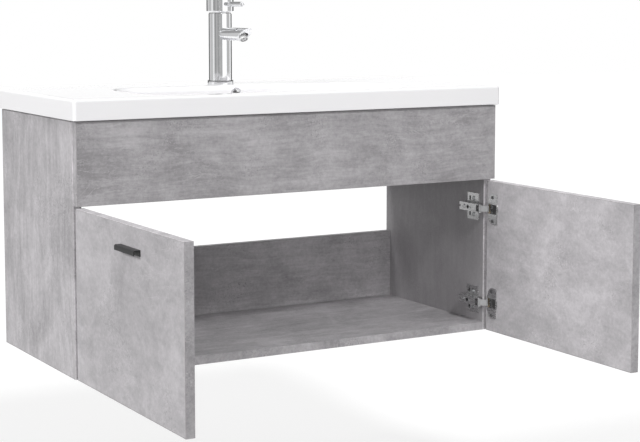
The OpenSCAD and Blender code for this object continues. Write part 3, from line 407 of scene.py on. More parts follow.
def board(node, face_axis, faced, raw=(), inner=None, pale=()):
    """A faced board: print on its two faces, edging on its edges, raw chipboard in its bores. An
    inner print lies on the face toward the cabinet's middle: a darker copy on the side panels as
    painted shade, a lighter copy on the doors as painted light. raw and pale name edges by axis and
    side: those left raw, and those with the paler strip, which is painted light"""
    low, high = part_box(node)
    form = clean_copy(node)
    edges = [(axis, side) for axis in range(3) if axis != face_axis for side in (0, 1)]
    for axis, side in edges:
        if (axis, side) in raw:
            continue
        way = Vector((0, 0, 0))
        way[axis] = 1
        for inward in (edging_t, edging_t + glue_t):
            plane = Vector((0, 0, 0))
            plane[axis] = high[axis] - inward if side else low[axis] + inward
            bmesh.ops.bisect_plane(form, geom=form.verts[:] + form.edges[:] + form.faces[:], dist=1e-6,
                                   plane_co=plane, plane_no=way)
    ease_edges(form, edge_ease)
    form.normal_update()
    finishes = [faced, edging, chipboard, glue, inner or faced, lit_edging]
    on_edge, on_raw, on_glue, on_inner, on_lit_edge = range(1, len(finishes))
    for face in form.faces:
        place = face.calc_center_median()
        facing = abs(face.normal[face_axis])
        depth = min(place[face_axis] - low[face_axis], high[face_axis] - place[face_axis])
        inward = {(axis, side): abs(place[axis] - (high if side else low)[axis]) for axis, side in edges}
        near = [edge for edge in edges if inward[edge] < edging_t * 0.99]
        seam = [edge for edge in edges if edge not in raw and inward[edge] < edging_t + glue_t]
        if near:
            face.material_index = on_raw if near[0] in raw else on_lit_edge if near[0] in pale else on_edge
        elif seam and depth < edge_ease:
            face.material_index = on_glue
        elif facing < face_on and depth > edge_ease:
            face.material_index = on_raw
        elif inner and face.normal[face_axis] * place[face_axis] < 0:
            face.material_index = on_inner
    return set_out(node + "_board", form, finishes, body_of(node), [node])


# The inner faces take the shaded print, painted shade, and the front edges the pale strip, painted light.
for node in ("side_panel_left", "side_panel_right"):
    board(node, 0, concrete_upright, raw=[(1, 1)], inner=shaded_inside_print, pale=[(1, 0)])

# Floor, back rails and apron. The same board: the floor lies between the sides, the two rails
# stand against the wall with a gap for the pipes, and the apron closes the front under the basin.
level_brush = (9, 60, 90)
level_tone = 0.95
apron_shade_tone = 0.84
concrete_level = concrete_print("concrete_print_level", level_brush, level_tone, (0.3, 0.1, 0.7))
# The apron takes a darker copy of the level print: painted shade on the front under the basin.
shaded_apron_print = concrete_print("concrete_print_apron_shaded", level_brush, apron_shade_tone, (1.7, 0, 0.4))
board("floor_panel", 2, concrete_level, raw=[(0, 0), (0, 1)])
for node in ("back_rail_lower", "back_rail_upper"):
    board(node, 1, concrete_level, raw=[(0, 0), (0, 1)])
board("apron_panel", 1, shaded_apron_print)

# Dowels and cam fittings. Fluted beech dowels place the boards, and zinc cams in the boards'
# undersides draw the steel bolts tight.
beech_pale = (0.62, 0.45, 0.27)
beech_dark = (0.50, 0.34, 0.19)
zinc_colour = (0.60, 0.61, 0.62)
steel_colour = (0.56, 0.57, 0.58)
small_ease = 0.0002
rub_dark = 0.88
rub_relief = 0.00004

beech, shader = new_finish("beech", beech_pale, 0.6)
grain = noise(beech, 1, 3, stretched(beech, own_place(beech), (40, 900, 900)))
join(beech, shades(beech, grain, [(0.35, beech_dark), (0.65, beech_pale)]), shader, "Base Color")
feel(beech, shader, grain, 0.0001, 0.4)


def plated(name, colour, rough, scratch=(260, 260, 260)):
    """Plated metal with a fine tumbled surface. scratch is how many rubs lie in a metre"""
    finish, shader = new_finish(name, colour, rough, metal=1.0)
    rub = noise(finish, 1, 5, stretched(finish, own_place(finish), scratch), Roughness=0.6)
    tone = shades(finish, rub, [(0.3, tuple(c * rub_dark for c in colour)), (0.7, colour)])
    join(finish, tone, shader, "Base Color")
    join(finish, spread(finish, rub, rough - 0.07, rough + 0.09), shader, "Roughness")
    feel(finish, shader, rub, rub_relief, 0.3)
    return finish


zinc = plated("zinc_casting", zinc_colour, 0.42)
bright_steel = plated("zinc_plated_steel", steel_colour, 0.32)


def made_part(node, finish, ease=small_ease):
    """A small part in its own form, with its edges broken"""
    form = clean_copy(node)
    ease_edges(form, ease)
    return set_out(node + "_part", form, [finish], body_of(node), [node])


made_part("dowels", beech)
made_part("cam_bolts", bright_steel)
made_part("cam_housings", zinc)

# Hanging brackets. Folded zinc-plated steel angles, screwed to the inside of each side panel,
# with a slot for the wall bolt.
sheet_colour = (0.58, 0.59, 0.60)
sheet_ease = 0.0003
bracket_steel = plated("bracket_sheet", sheet_colour, 0.38, scratch=(500, 500, 40))
for node in ("hanging_bracket_left", "hanging_bracket_right"):
    made_part(node, bracket_steel, sheet_ease)
made_part("bracket_screws", zinc)

# Hinges. Each door has two concealed hinges in nickel-plated pressed steel: a slotted plate on
# the side panel, an arm clamped over it, a link, and a cup let into the door.
nickel_colour = (0.62, 0.62, 0.625)
link_shade_colour = (0.36, 0.36, 0.365)
well_shade_colour = (0.17, 0.17, 0.175)
shade_colour = (0.05, 0.05, 0.052)
drawn_marks = (420, 90, 420)
plate_ease = 0.0005
pad_t = 0.0003
pad_z = (0.009, 0.0265)
pad_in = 0.001
arm_half_w = 0.00825
arm_web_x = 0.4173
arm_web_t = 0.0016
# The two windows in an arm: how far in front of its rear end they lie, and their radius.
arm_windows = ((0.029, 0.0042), (0.0375, 0.0026))
nickel = plated("nickel_plate", nickel_colour, 0.26, scratch=drawn_marks)
# Dark metal for the cups' wells and screws: painted shade in the hollows.
cup_well_shade = plated("cup_well_shade", well_shade_colour, 0.5)
# The links take a darker copy of the nickel: painted shade inside the hinge.
shaded_link_nickel = plated("shaded_link_nickel", link_shade_colour, 0.38, scratch=drawn_marks)
hinge_shade = plated("hinge_shade", shade_colour, 0.6)


def rounded(corners, radius, steps=4):
    """Rounds the corners of a profile. A corner has two places and may carry its own radius"""
    soft = []
    for index, corner in enumerate(corners):
        own = corner[2] if len(corner) > 2 else radius
        here = Vector(corner[:2])
        before = Vector(corners[index - 1][:2]) - here
        after = Vector(corners[(index + 1) % len(corners)][:2]) - here
        cut = min(own, before.length * 0.45, after.length * 0.45)
        if cut < 1e-6:
            soft.append(tuple(here))
            continue
        start, end = here + before.normalized() * cut, here + after.normalized() * cut
        for step in range(steps + 1):
            share = step / steps
            soft.append(tuple(start.lerp(here, share).lerp(here.lerp(end, share), share)))
    return soft


def drill(piece, name, centre, radius, way, depth):
    """Drills a round hole through a piece"""
    bit = bmesh.new()
    turn = Vector((0, 0, 1)).rotation_difference(Vector(way)).to_matrix().to_4x4()
    bmesh.ops.create_cone(bit, cap_ends=True, segments=64, radius1=radius, radius2=radius, depth=depth,
                          matrix=Matrix.Translation(centre) @ turn)
    bit_mesh = bpy.data.meshes.new(name)
    bit.to_mesh(bit_mesh)
    bit.free()
    cutter = bpy.data.objects.new(name, bit_mesh)
    bpy.context.scene.collection.objects.link(cutter)
    hole = piece.modifiers.new(name, "BOOLEAN")
    hole.object = cutter
    hole.solver = "EXACT"
    piece.modifiers.move(len(piece.modifiers) - 1, 0)
    bpy.context.view_layer.update()
    cut = bpy.data.meshes.new_from_object(piece.evaluated_get(bpy.context.evaluated_depsgraph_get()))
    piece.modifiers.remove(hole)
    bpy.data.objects.remove(cutter)
    piece.data = cut


def block(form, low, high):
    """Adds a block between two corners to a form, and returns its faces"""
    spots = [form.verts.new((x, y, z)) for x in (low[0], high[0]) for y in (low[1], high[1])
             for z in (low[2], high[2])]
    sides = ((0, 1, 3, 2), (4, 6, 7, 5), (0, 4, 5, 1), (2, 3, 7, 6), (0, 2, 6, 4), (1, 5, 7, 3))
    return [form.faces.new([spots[k] for k in side]) for side in sides]


plates = clean_copy("hinge_plates")
ease_edges(plates, plate_ease)
plate_low, plate_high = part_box("hinge_plates")
arm_low, arm_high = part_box("hinge_arms")
arm_middles = [(sign, middle) for sign in (-1, 1)
               for middle in (arm_low.z + arm_half_w, arm_high.z - arm_half_w)]
shaded = []
for sign, middle in arm_middles:
    for wing in (-1, 1):
        foot, top = sorted((middle + wing * pad_z[0], middle + wing * pad_z[1]))
        shaded += block(plates, (sign * (plate_high.x - pad_t), plate_low.y + pad_in, foot),
                        (sign * plate_high.x, plate_high.y - pad_in, top))
bmesh.ops.recalc_face_normals(plates, faces=plates.faces)
for face in shaded:
    face.material_index = 1
set_out("hinge_plates_part", plates, [nickel, hinge_shade], body_of("hinge_plates"),
        ["hinge_plates"])
arms = made_part("hinge_arms", nickel, plate_ease)
for sign, middle in arm_middles:
    for number, (back, radius) in enumerate(arm_windows):
        spot = Vector((sign * arm_web_x, arm_high.y - back, middle))
        drill(arms, f"arm_window_{number}", spot, radius, (1, 0, 0), arm_web_t * 2)

# Cups. The flange is drawn from its outline, as (out, up) from the cup's middle: a straight outer
# edge, two ears for the screws, a neck on the arm's side, and the mouth that the arm reaches into.
cup_half_l = 0.031
well_r = 0.0166
well_in = 0.0008
flange_proud = 0.00005
flange_soft = 0.0022
flange_out = 0.0138
ear_in = -0.004
ear_neck = -0.010
ear_z = 0.027
neck_in = -0.0165
neck_z = 0.013
mouth_out = 0.0120
mouth_z = 0.0097
mouth_soft = 0.0005
half_flange = [(flange_out, 0.0, 0), (flange_out, cup_half_l), (ear_in, cup_half_l),
               (ear_neck, ear_z), (neck_in, neck_z), (neck_in, mouth_z, mouth_soft),
               (mouth_out, mouth_z), (mouth_out, 0.0, 0)]
flange_line = rounded(half_flange, flange_soft)
flange_line += [(u, -v) for u, v in reversed(flange_line)]
for side in ("left", "right"):
    cups = clean_copy(f"hinge_cups_{side}")
    ease_edges(cups, small_ease)
    low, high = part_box(f"hinge_cups_{side}")
    cup_y = (low.y + high.y) / 2
    flange_x = low.x if side == "right" else high.x
    door_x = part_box(f"door_{side}")[0].x if side == "right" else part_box(f"door_{side}")[1].x
    front_x = flange_x + math.copysign(flange_proud, flange_x - door_x)
    centres = [Vector((cup_y, z)) for z in (low.z + cup_half_l, high.z - cup_half_l)]
    # Faces inside each cup's well take the dark metal: painted shade in the hollow.
    for face in cups.faces:
        place = face.calc_center_median()
        spot = Vector((place.y, place.z))
        if abs(place.x - flange_x) > well_in and min((spot - c).length for c in centres) < well_r:
            face.material_index = 1
    for centre in centres:
        fronts, backs = [], []
        for u, v in flange_line:
            fronts.append(cups.verts.new((front_x, centre.x - u, centre.y + v)))
            backs.append(cups.verts.new((door_x, centre.x - u, centre.y + v)))
        cups.faces.new(fronts)
        cups.faces.new(backs[::-1])
        for k in range(len(fronts)):
            following = (k + 1) % len(fronts)
            cups.faces.new([fronts[k], backs[k], backs[following], fronts[following]])
    bmesh.ops.remove_doubles(cups, verts=cups.verts, dist=1e-7)
    bmesh.ops.recalc_face_normals(cups, faces=cups.faces)
    set_out(f"hinge_cups_{side}_part", cups, [nickel, cup_well_shade], f"door_{side}",
            [f"hinge_cups_{side}"])
    for height in ("lower", "upper"):
        made_part(f"hinge_link_{side}_{height}", shaded_link_nickel)
made_part("plate_screws", zinc)
made_part("arm_clamp_screws", nickel)
made_part("arm_adjusting_screws", hinge_shade)
made_part("hinge_pins", bright_steel)
# The cup screws are drawn in the dark metal: painted shade in their heads.
made_part("cup_screws_left", cup_well_shade)
made_part("cup_screws_right", cup_well_shade)

# Doors. Plain slabs of the same board, edged all round, with two blind bores for the hinge cups
# and two for the handle's studs. They stand open at a right angle.
door_brush = (40, 14, 34)
door_print = 0.75
# The doors' inner faces take a lighter copy of the print: painted light.
door_inside_light_tone = 1.14
concrete_door = concrete_print("concrete_print_door", door_brush, place=(0.9, 0.4, 0.2), ink=door_print)
lit_door_inside_print = concrete_print("concrete_print_door_inside", door_brush, door_inside_light_tone, (0.2, 0.7, 0.5),
                             door_print)
# The inner faces get the lighter print and the top edges the pale strip, both painted light.
for node in ("door_left", "door_right"):
    board(node, 0, concrete_door, inner=lit_door_inside_print, pale=[(2, 1)])

# Handles. A strip of steel bent over the door's top edge line into a lip that the fingers hook
# behind, powder-coated black, and held by two studs from behind.
black_colour = (0.022, 0.022, 0.024)
black_pale = 0.03
handle_ease = 0.0004
black_coat, shader = new_finish("black_powder_coat", black_colour, 0.38)
shader.inputs["Specular IOR Level"].default_value = 0.16
peel = noise(black_coat, 900, 2)
join(black_coat, shades(black_coat, peel, [(0.3, black_colour), (0.7, grey(black_pale))]), shader,
     "Base Color")
join(black_coat, spread(black_coat, peel, 0.34, 0.44), shader, "Roughness")
feel(black_coat, shader, peel, 0.00005, 0.4)
for side in ("left", "right"):
    made_part(f"handle_{side}", black_coat, handle_ease)
    made_part(f"handle_studs_{side}", bright_steel)

# Basin. One piece of white glazed ceramic over the whole cabinet: a flat deck with soft edges, a
# wide bowl with drawn-in walls, and a hollow underside with a ground seat.
glaze_colour = (0.885, 0.88, 0.89)
glaze_thin = (0.875, 0.87, 0.885)
glaze_rough = 0.12
bowl_half_x = 0.280
front_rim = 0.046
back_ledge = 0.117
bowl_depth = 0.128
bowl_upright = 0.030
bowl_draw = 0.052
bowl_draw_y = 0.026
bowl_floor_r = 0.042
bowl_corner_r = 0.060
floor_corner_r = 0.022
bowl_t = 0.012
deck_t = 0.013
rim_h = 0.0385
rim_t = 0.020
seat_in = 0.003
slab_corner_r = 0.006
edge_r = 0.0055
foot_r = 0.0015
lip_r = 0.011
flange_gap = 0.001
flange_t = 0.003
waste_hole_r = 0.02295
tap_hole_r = 0.0175
overflow_hole_r = 0.00855
corner_steps = 12
side_steps = 6
arc_steps = 6
foot_steps = 3
wall_steps = 16
floor_crowding = 1.1
# The sides on which a rectangle's four corners lie, in turn.
quarters = ((1, 1), (-1, 1), (-1, -1), (1, -1))

glaze, shader = new_finish("white_glaze", glaze_colour, glaze_rough)
shader.inputs["IOR"].default_value = 1.42
shader.inputs["Coat Weight"].default_value = 0.05
shader.inputs["Coat Roughness"].default_value = 0.05
flow = noise(glaze, 16, 3)
pin = noise(glaze, 1400, 1)
join(glaze, shades(glaze, flow, [(0.3, glaze_thin), (0.7, glaze_colour)]), shader, "Base Color")
join(glaze, spread(glaze, pin, glaze_rough - 0.03, glaze_rough + 0.05), shader, "Roughness")
feel(glaze, shader, flow, 0.0006, 0.12)

slab_low, slab_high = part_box("basin_ends")
deck_z = slab_high.z
basin_blocks = ("basin_ends", "basin_front_rim", "basin_ledges", "basin_tap_land", "basin_corners",
                "bowl_tray", "bowl_walls", "bowl_ends")
bowl_front = slab_low.y + front_rim
bowl_back = -back_ledge
bowl_mid = (bowl_front + bowl_back) / 2
bowl_half_y = (bowl_back - bowl_front) / 2
bowl_floor = deck_z - bowl_depth
waste_low, waste_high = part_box("waste_body")
flange_r = (waste_high.x - waste_low.x) / 2 + flange_gap


def quarter_turn(steps):
    """Even angles over a quarter of a turn"""
    return [step / steps * math.pi / 2 for step in range(steps + 1)]


def ring(half_x, half_y, corner, mid_y, z):
    """One level of the basin: a rectangle with round corners, always with as many points"""
    corner = min(corner, half_x, half_y)
    middles = [Vector(((half_x - corner) * sign_x, (half_y - corner) * sign_y + mid_y, z))
               for sign_x, sign_y in quarters]
    spots = []
    for turn in range(4):
        for step in range(corner_steps + 1):
            angle = (turn + step / corner_steps) * math.pi / 2
            spots.append(middles[turn] + corner * Vector((math.cos(angle), math.sin(angle), 0)))
        start = spots[-1]
        end_angle = (turn + 1) * math.pi / 2
        end = middles[(turn + 1) % 4] + corner * Vector((math.cos(end_angle), math.sin(end_angle), 0))
        for step in range(1, side_steps):
            spots.append(start.lerp(end, step / side_steps))
    return spots


def wall_line(half, floor_half, grow):
    """Where a bowl wall leaves the rounded floor: the tangent from the upright's foot"""
    foot = Vector((half + grow, deck_z - bowl_upright))
    centre = Vector((floor_half, bowl_floor + bowl_floor_r))
    reach = foot - centre
    angle = math.atan2(reach.y, reach.x) - math.acos((bowl_floor_r + grow) / reach.length)
    return foot, centre, angle


def bowl_levels(grow):
    """Levels of the bowl from its floor up to the foot of its upright wall"""
    floor_x = bowl_half_x - bowl_draw - bowl_floor_r
    floor_y = bowl_half_y - bowl_draw_y - bowl_floor_r
    foot_x, centre_x, angle_x = wall_line(bowl_half_x, floor_x, grow)
    foot_y, centre_y, angle_y = wall_line(bowl_half_y, floor_y, grow)
    round_r = bowl_floor_r + grow
    levels = []

    def across(foot, centre, angle, z):
        turn_z = centre.y + round_r * math.sin(angle)
        if z <= turn_z:
            drop = max(-1.0, (z - centre.y) / round_r)
            return centre.x + round_r * math.cos(math.asin(drop))
        turn_x = centre.x + round_r * math.cos(angle)
        return turn_x + (foot.x - turn_x) * (z - turn_z) / (foot.y - turn_z)

    low = centre_x.y - round_r
    for step in range(wall_steps + 1):
        share = step / wall_steps
        z = low + (foot_x.y - low) * (1 - math.cos(share * math.pi / 2)) ** floor_crowding
        corner = floor_corner_r + grow + (bowl_corner_r - floor_corner_r) * share
        half_x, half_y = across(foot_x, centre_x, angle_x, z), across(foot_y, centre_y, angle_y, z)
        levels.append((half_x, half_y, corner, bowl_mid, z))
    return levels


slab_mid = (slab_low.y + slab_high.y) / 2
slab_half_y = (slab_high.y - slab_low.y) / 2
slab_half_x = slab_high.x
rim_z = deck_z - rim_h
seat_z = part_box("side_panel_right")[1].z
seat_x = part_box("side_panel_right")[1].x - seat_in
seat_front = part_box("apron_panel")[0].y + seat_in
seat_mid = (seat_front - seat_in) / 2
seat_half_y = (-seat_in - seat_front) / 2
hollow_half_y = slab_half_y - rim_t
# Each level is (half width, half depth, corner radius, middle, height). They run from the waste
# hole up the bowl, over the deck and down the rim, and back under the deck and the bowl.
waste_steps = ((waste_hole_r, bowl_t), (waste_hole_r, flange_t), (flange_r, flange_t), (flange_r, 0))
levels = [(radius, radius, radius, bowl_mid, bowl_floor - down) for radius, down in waste_steps]
levels += bowl_levels(0)
levels += [(bowl_half_x + lip_r - lip_r * math.cos(t), bowl_half_y + lip_r - lip_r * math.cos(t),
            bowl_corner_r + lip_r - lip_r * math.cos(t), bowl_mid, deck_z - lip_r + lip_r * math.sin(t))
           for t in quarter_turn(arc_steps)]
levels += [(slab_half_x - edge_r + edge_r * math.sin(t), slab_half_y - edge_r + edge_r * math.sin(t),
            slab_corner_r - edge_r + edge_r * math.sin(t), slab_mid,
            deck_z - edge_r + edge_r * math.cos(t))
           for t in quarter_turn(arc_steps)]
levels += [(slab_half_x - foot_r + foot_r * math.cos(t), slab_half_y - foot_r + foot_r * math.cos(t),
            slab_corner_r, slab_mid, rim_z + foot_r - foot_r * math.sin(t))
           for t in quarter_turn(foot_steps)]
levels += [(seat_x, seat_half_y, slab_corner_r, seat_mid, rim_z),
           (seat_x, seat_half_y, slab_corner_r, seat_mid, seat_z),
           (slab_half_x - rim_t, hollow_half_y, slab_corner_r, slab_mid, seat_z),
           (slab_half_x - rim_t, hollow_half_y, slab_corner_r, slab_mid, deck_z - deck_t),
           (bowl_half_x + bowl_t, bowl_half_y + bowl_t, bowl_corner_r + bowl_t, bowl_mid, deck_z - deck_t)]
levels += bowl_levels(bowl_t)[::-1]

bowl = bmesh.new()
rings = [[bowl.verts.new(spot) for spot in ring(*level)] for level in levels]
for lower, upper in zip(rings, rings[1:] + rings[:1]):
    for spot in range(len(lower)):
        following = (spot + 1) % len(lower)
        corners = [lower[spot], lower[following], upper[following], upper[spot]]
        bowl.faces.new(corners)
bmesh.ops.remove_doubles(bowl, verts=bowl.verts, dist=1e-7)
bmesh.ops.recalc_face_normals(bowl, faces=bowl.faces)
basin = set_out("basin_ceramic", bowl, [glaze], "cabinet", basin_blocks)

tap_low, tap_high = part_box("tap_body")
tap_x, tap_y = (tap_low.x + tap_high.x) / 2, (tap_low.y + tap_high.y) / 2
ring_low, ring_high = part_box("overflow_ring")
overflow_z = (ring_low.z + ring_high.z) / 2
tap_hole_at = Vector((tap_x, tap_y, deck_z - deck_t / 2))
overflow_hole_at = Vector((0, bowl_back + bowl_t / 2, overflow_z))
drill(basin, "tap_hole", tap_hole_at, tap_hole_r, (0, 0, 1), deck_t * 2)
drill(basin, "overflow_hole", overflow_hole_at, overflow_hole_r, (0, 1, 0), bowl_t * 2.4)

# Overflow ring. A small chromed brass ring with a rolled edge, pressed into the bowl's rear wall.
chrome_colour = (0.90, 0.905, 0.915)
chrome_hazy = (0.88, 0.885, 0.90)
ring_bore_r = 0.007
ring_sleeve_r = 0.0085
ring_face_t = 0.0015
ring_soft = 0.0006
turn_steps = 96

chrome, shader = new_finish("chrome", chrome_colour, 0.06, metal=1.0)
haze = noise(chrome, 60, 3)
join(chrome, shades(chrome, haze, [(0.3, chrome_hazy), (0.7, chrome_colour)]), shader, "Base Color")
join(chrome, spread(chrome, haze, 0.04, 0.09), shader, "Roughness")


def turned(profile, centre, way=(0, 0, 1), closed=True):
    """Turns a profile of (radius, height) round a line through centre, as on a lathe"""
    form = bmesh.new()
    tilt = Vector((0, 0, 1)).rotation_difference(Vector(way)).to_matrix()
    hoops = []
    for radius, height in profile:
        if radius < 1e-6:
            hoops.append([form.verts.new(Vector(centre) + tilt @ Vector((0, 0, height)))])
            continue
        hoop = []
        for step in range(turn_steps):
            angle = step / turn_steps * math.tau
            spot = Vector((radius * math.cos(angle), radius * math.sin(angle), height))
            hoop.append(form.verts.new(Vector(centre) + tilt @ spot))
        hoops.append(hoop)
    for here, there in zip(hoops, hoops[1:] + hoops[:1] if closed else hoops[1:]):
        for step in range(turn_steps):
            following = (step + 1) % turn_steps
            if len(here) == 1 and len(there) == 1:
                continue
            if len(here) == 1:
                form.faces.new([here[0], there[step], there[following]])
            elif len(there) == 1:
                form.faces.new([here[step], here[following], there[0]])
            else:
                form.faces.new([here[step], here[following], there[following], there[step]])
    bmesh.ops.recalc_face_normals(form, faces=form.faces)
    return form


ring_r = (ring_high.x - ring_low.x) / 2
ring_depth = ring_high.y - ring_low.y
ring_line = [(ring_bore_r, 0), (ring_r, 0), (ring_r, ring_face_t), (ring_sleeve_r, ring_face_t),
             (ring_sleeve_r, ring_depth), (ring_bore_r, ring_depth)]
overflow = turned(rounded(ring_line, ring_soft), (0, ring_low.y, overflow_z), (0, 1, 0))
set_out("overflow_ring_chrome", overflow, [chrome], "cabinet", ["overflow_ring"])

# Waste. A chromed flange and threaded tube drawn down on a rubber seal by a zinc nut under the
# bowl, and a sprung plug that is pushed to open and close.
plug_crown_in = 0.004
plug_crown_z = -0.0004
plug_edge_z = -0.0018
plug_head_z = -0.004
plug_stem_r = 0.004
plug_soft = 0.0008


def moulded(name, colour, rough, low, high, grain, height=0.0):
    """Moulded rubber or plastic, mottled between two tones. grain is how many specks lie in a
    metre"""
    finish, shader = new_finish(name, colour, rough)
    mottle = noise(finish, grain, 2)
    join(finish, shades(finish, mottle, [(0.3, low), (0.7, high)]), shader, "Base Color")
    if height:
        feel(finish, shader, mottle, height, 0.3)
    return finish


rubber = moulded("black_rubber", grey(0.03), 0.75, grey(0.022), grey(0.04), 700, 0.0001)
made_part("waste_body", chrome)
made_part("waste_seal", rubber)
made_part("waste_nut", zinc)
plug_low, plug_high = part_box("waste_plug")
plug_r = (plug_high.x - plug_low.x) / 2
plug_mid = (plug_low.y + plug_high.y) / 2
plug_line = [(0, plug_high.z, 0), (plug_r - plug_crown_in, plug_high.z + plug_crown_z),
             (plug_r, plug_high.z + plug_edge_z), (plug_r, plug_high.z + plug_head_z),
             (plug_stem_r, plug_high.z + plug_head_z), (plug_stem_r, plug_low.z), (0, plug_low.z, 0)]
plug = turned(rounded(plug_line, plug_soft), (0, plug_mid, 0), closed=False)
set_out("waste_plug_chrome", plug, [chrome], "plug", ["waste_plug"])

# Reflection cards. Glowing grey cards, seen only in polished surfaces, stand in a wide ring as a
# photographer sets cards round a chromed tap: painted reflections that draw its upright bands.
card_turn = 4
tall = (3.2, -0.8, 3.4)
low_band = (3.2, -0.8, 0.36)
hood = (0.6, 0.245, 0.62)
# Each card: how far from the tap it stands with the heights of its foot and head, the angles from
# the camera's side where it starts and ends, and its tone.
cards = ((low_band, -160, -132, 0.04), (tall, -132, -104, 0.62), (tall, -104, -80, 0.54),
         (tall, -80, -60, 0.86), (tall, -60, -38, 0.34), (tall, -38, -28, 0.50), (tall, -28, -8, 0.34),
         (tall, -8, 20, 0.44), (tall, 24, 62, 1.3), (tall, 66, 104, 0.52), (low_band, 126, 157, 0.03),
         (hood, -186, -166, 0.10), (hood, -166, -124, 0.34))
toward_camera = math.atan2(camera_at.y - tap_y, camera_at.x - tap_x)
for number, ((away, foot_z, head_z), start, end, tone) in enumerate(cards):
    sheet = bmesh.new()
    steps = max(2, (end - start) // card_turn)
    edge = []
    for step in range(steps + 1):
        angle = toward_camera + math.radians(start + (end - start) * step / steps)
        x, y = tap_x + away * math.cos(angle), tap_y + away * math.sin(angle)
        edge.append([sheet.verts.new((x, y, z)) for z in (foot_z, head_z)])
    for here, there in zip(edge, edge[1:]):
        sheet.faces.new([here[0], there[0], there[1], here[1]])
    card_mesh = bpy.data.meshes.new(f"card_{number}")
    sheet.to_mesh(card_mesh)
    sheet.free()
    reflection_glow = bpy.data.materials.new(f"card_painted_reflection_{number}")
    reflection_glow.use_nodes = True
    reflection_glow.node_tree.nodes.remove(reflection_glow.node_tree.nodes["Principled BSDF"])
    glow = coat(reflection_glow, "Emission", {"Color": (*grey(tone), 1), "Strength": 1})
    reflection_glow.node_tree.links.new(glow.outputs[0], reflection_glow.node_tree.nodes["Material Output"].inputs["Surface"])
    card_mesh.materials.append(reflection_glow)
    card = bpy.data.objects.new(f"card_{number}", card_mesh)
    card.visible_camera = card.visible_diffuse = card.visible_shadow = False
    bpy.context.scene.collection.objects.link(card)

# Tap base and body. Turned and chromed brass: a ring that stands on the basin, with a dark joint
# along its top, and a straight column whose inner collar holds the cartridge.
base_bore_r = 0.0175
base_soft = 0.0003
brim_soft = 0.0002
joint_h = 0.0016
joint_in = 0.0003
joint_above = 0.0015
body_gap = 0.0001
body_soft = 0.0005
body_round = 0.0015
collar_in = 0.0015
collar_h = 0.0016
collar_soft = 0.0003
socket_in = 0.0035
socket_deep = 0.004
plastic_in = 0.0025
plastic_deep = 0.0045
pale_plastic = moulded("cartridge_plastic", (0.75, 0.74, 0.70), 0.5, (0.72, 0.71, 0.67),
                       (0.77, 0.76, 0.72), 600)


def give_second(form, chosen):
    """Gives the second finish to a turned form's faces. chosen is told each face's height and how
    far it lies from the tap's axis"""
    for face in form.faces:
        place = face.calc_center_median()
        if chosen(place.z, (place.xy - Vector((tap_x, tap_y))).length):
            face.material_index = 1


body_r = (tap_high.x - tap_low.x) / 2
base_low, base_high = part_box("tap_base_ring")
base_r = (base_high.x - base_low.x) / 2
joint_top = base_high.z + joint_above
joint_foot = joint_top - joint_h
base_line = [(base_bore_r, base_low.z), (base_r, base_low.z, base_soft), (base_r, joint_foot, brim_soft),
             (base_r - joint_in, joint_foot, 0), (base_r - joint_in, joint_top, brim_soft),
             (body_r + body_gap, joint_top), (body_r + body_gap, base_high.z), (base_bore_r, base_high.z)]
base = turned(rounded(base_line, base_soft), (tap_x, tap_y, 0))
give_second(base, lambda z, out: z > joint_foot and out > body_r)
set_out("tap_base_chrome", base, [chrome, rubber], "cabinet", ["tap_base_ring"])
column_line = [(0, tap_low.z, 0), (body_r, tap_low.z), (body_r, tap_high.z, body_round),
               (body_r - collar_in, tap_high.z, collar_soft), (body_r - collar_in, tap_high.z + collar_h),
               (body_r - socket_in, tap_high.z + collar_h), (body_r - socket_in, tap_high.z - socket_deep),
               (0, tap_high.z - socket_deep, 0)]
column = turned(rounded(column_line, body_soft), (tap_x, tap_y, 0), closed=False)
# The socket's walls take the cartridge's pale plastic, partly the real plastic and partly painted light in
# the gap under the head.
give_second(column, lambda z, out: z > tap_high.z - plastic_deep and out < body_r - plastic_in)
set_out("tap_body_chrome", column, [chrome, pale_plastic], "cabinet", ["tap_body"])

# Tap spout. A chromed brass tube set into the column. Its end is cut on a slant, with a pocket
# sunk in its underside for the aerator.
spout_ease = 0.0004
mouth_run = 0.040
mouth_drop = 0.026
pocket_along = 0.0265
pocket_r = 0.0084
pocket_depth = 0.0025
pocket_skin = 0.0003
# Dark plastic for the aerator's rim, also laid on the spout's pocket walls as painted shade.
rim_plastic_and_pocket_shade = moulded("aerator_rim_and_pocket_shade", (0.31, 0.31, 0.315), 0.35, grey(0.29), grey(0.33), 800,
                       0.00005)


def off_axis(reach, axis):
    """How far a point lies from an axis, where reach is the point as seen from the axis"""
    return (reach - axis * reach.dot(axis)).length


spout = made_part("tap_spout", chrome, spout_ease)
spout_low, spout_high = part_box("tap_spout")
mouth_slant = math.atan2(mouth_drop, mouth_run)
mouth_along = Vector((0, math.cos(mouth_slant), -math.sin(mouth_slant)))
mouth_into = Vector((0, math.sin(mouth_slant), math.cos(mouth_slant)))
mouth_tip = Vector((tap_x, spout_low.y, spout_high.z))
pocket_at = mouth_tip + mouth_along * pocket_along
drill(spout, "spout_pocket", pocket_at, pocket_r, mouth_into, pocket_depth * 2)
# The pocket's walls take the dark rim plastic: painted shade in the recess.
spout.data.materials.append(rim_plastic_and_pocket_shade)
for face in spout.data.polygons:
    inward = face.center - pocket_at
    if inward.dot(mouth_into) > pocket_skin and off_axis(inward, mouth_into) < pocket_r * 1.01:
        face.material_index = 1

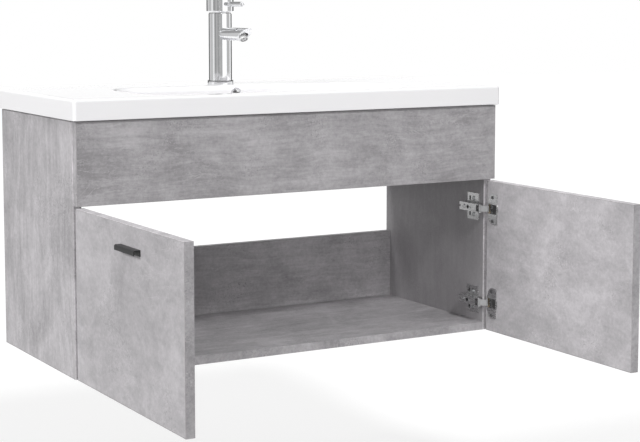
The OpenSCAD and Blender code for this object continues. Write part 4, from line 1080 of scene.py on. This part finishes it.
# Tap lever. The nut holds the cartridge, whose turret and stem carry a chromed head that turns
# and lifts, hollow below, with a thin rod screwed into it.
head_soft = 0.0006
crown_in = 0.005
crown_z = -0.0003
crown_edge_z = -0.004
crown_round = 0.002
taper_h = 0.003
taper_in = 0.003
taper_round = 0.0008
taper_soft = 0.0003
hollow_in = 0.0035
hollow_h = 0.005
hollow_peak = 0.02
hollow_plastic_in = 0.0032
made_part("cartridge_nut", chrome)
made_part("lever_turret", zinc)
made_part("lever_stem", zinc)
head_low, head_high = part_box("lever_head")
head_r = (head_high.x - head_low.x) / 2
head_line = [(0, head_high.z, 0), (head_r - crown_in, head_high.z + crown_z),
             (head_r, head_high.z + crown_edge_z, crown_round),
             (head_r, head_low.z + taper_h, taper_round), (head_r - taper_in, head_low.z, taper_soft),
             (head_r - hollow_in, head_low.z), (head_r - hollow_in, head_low.z + hollow_h),
             (0, head_low.z + hollow_peak, 0)]
head = turned(rounded(head_line, head_soft), (tap_x, tap_y, 0), closed=False)
# The head's hollow takes the pale plastic as well, partly the cartridge's plastic and partly painted light
# in the gap over the column.
give_second(head, lambda z, out: z < head_low.z + hollow_peak and out < head_r - hollow_plastic_in)
set_out("lever_head_chrome", head, [chrome, pale_plastic], "tap_lever", ["lever_head"])
made_part("lever_rod", chrome)

# Aerator and cartridge. The aerator is moulded grey plastic with a dark rim round its mesh, and
# the cartridge inside the column is pale plastic.
aerator_along = 0.0315
aerator_r = 0.0078
aerator_deep = 0.0088
aerator_soft = 0.0004
collar_out = 0.0072
mesh_r = 0.0055
mesh_in = 0.001
mesh_edge = 0.0008
rim_facing = -0.5
grey_plastic = moulded("aerator_plastic", (0.60, 0.61, 0.62), 0.35, grey(0.57), grey(0.64), 800, 0.00005)
aerator_at = mouth_tip + mouth_along * aerator_along
aerator_line = [(0, mesh_in - collar_out, 0), (mesh_r, mesh_in - collar_out, 0),
                (mesh_r + mesh_edge, -collar_out), (aerator_r, -collar_out),
                (aerator_r, aerator_deep), (0, aerator_deep, 0)]
aerator = turned(rounded(aerator_line, aerator_soft), aerator_at, mouth_into, closed=False)
aerator.normal_update()
for face in aerator.faces:
    if off_axis(face.calc_center_median() - aerator_at, mouth_into) > mesh_r:
        face.material_index = 1 if face.normal.dot(mouth_into) < rim_facing else 0
set_out("aerator_part", aerator, [grey_plastic, rim_plastic_and_pocket_shade], body_of("aerator"),
        ["aerator"])
made_part("cartridge", pale_plastic)

# Tap fixing. A stud, a rubber gasket, a horseshoe washer and a nut pull the tap down on the
# ceramic from below.
made_part("tap_stud", bright_steel)
made_part("tap_gasket", rubber)
made_part("tap_washer", zinc)
made_part("tap_nut", bright_steel)
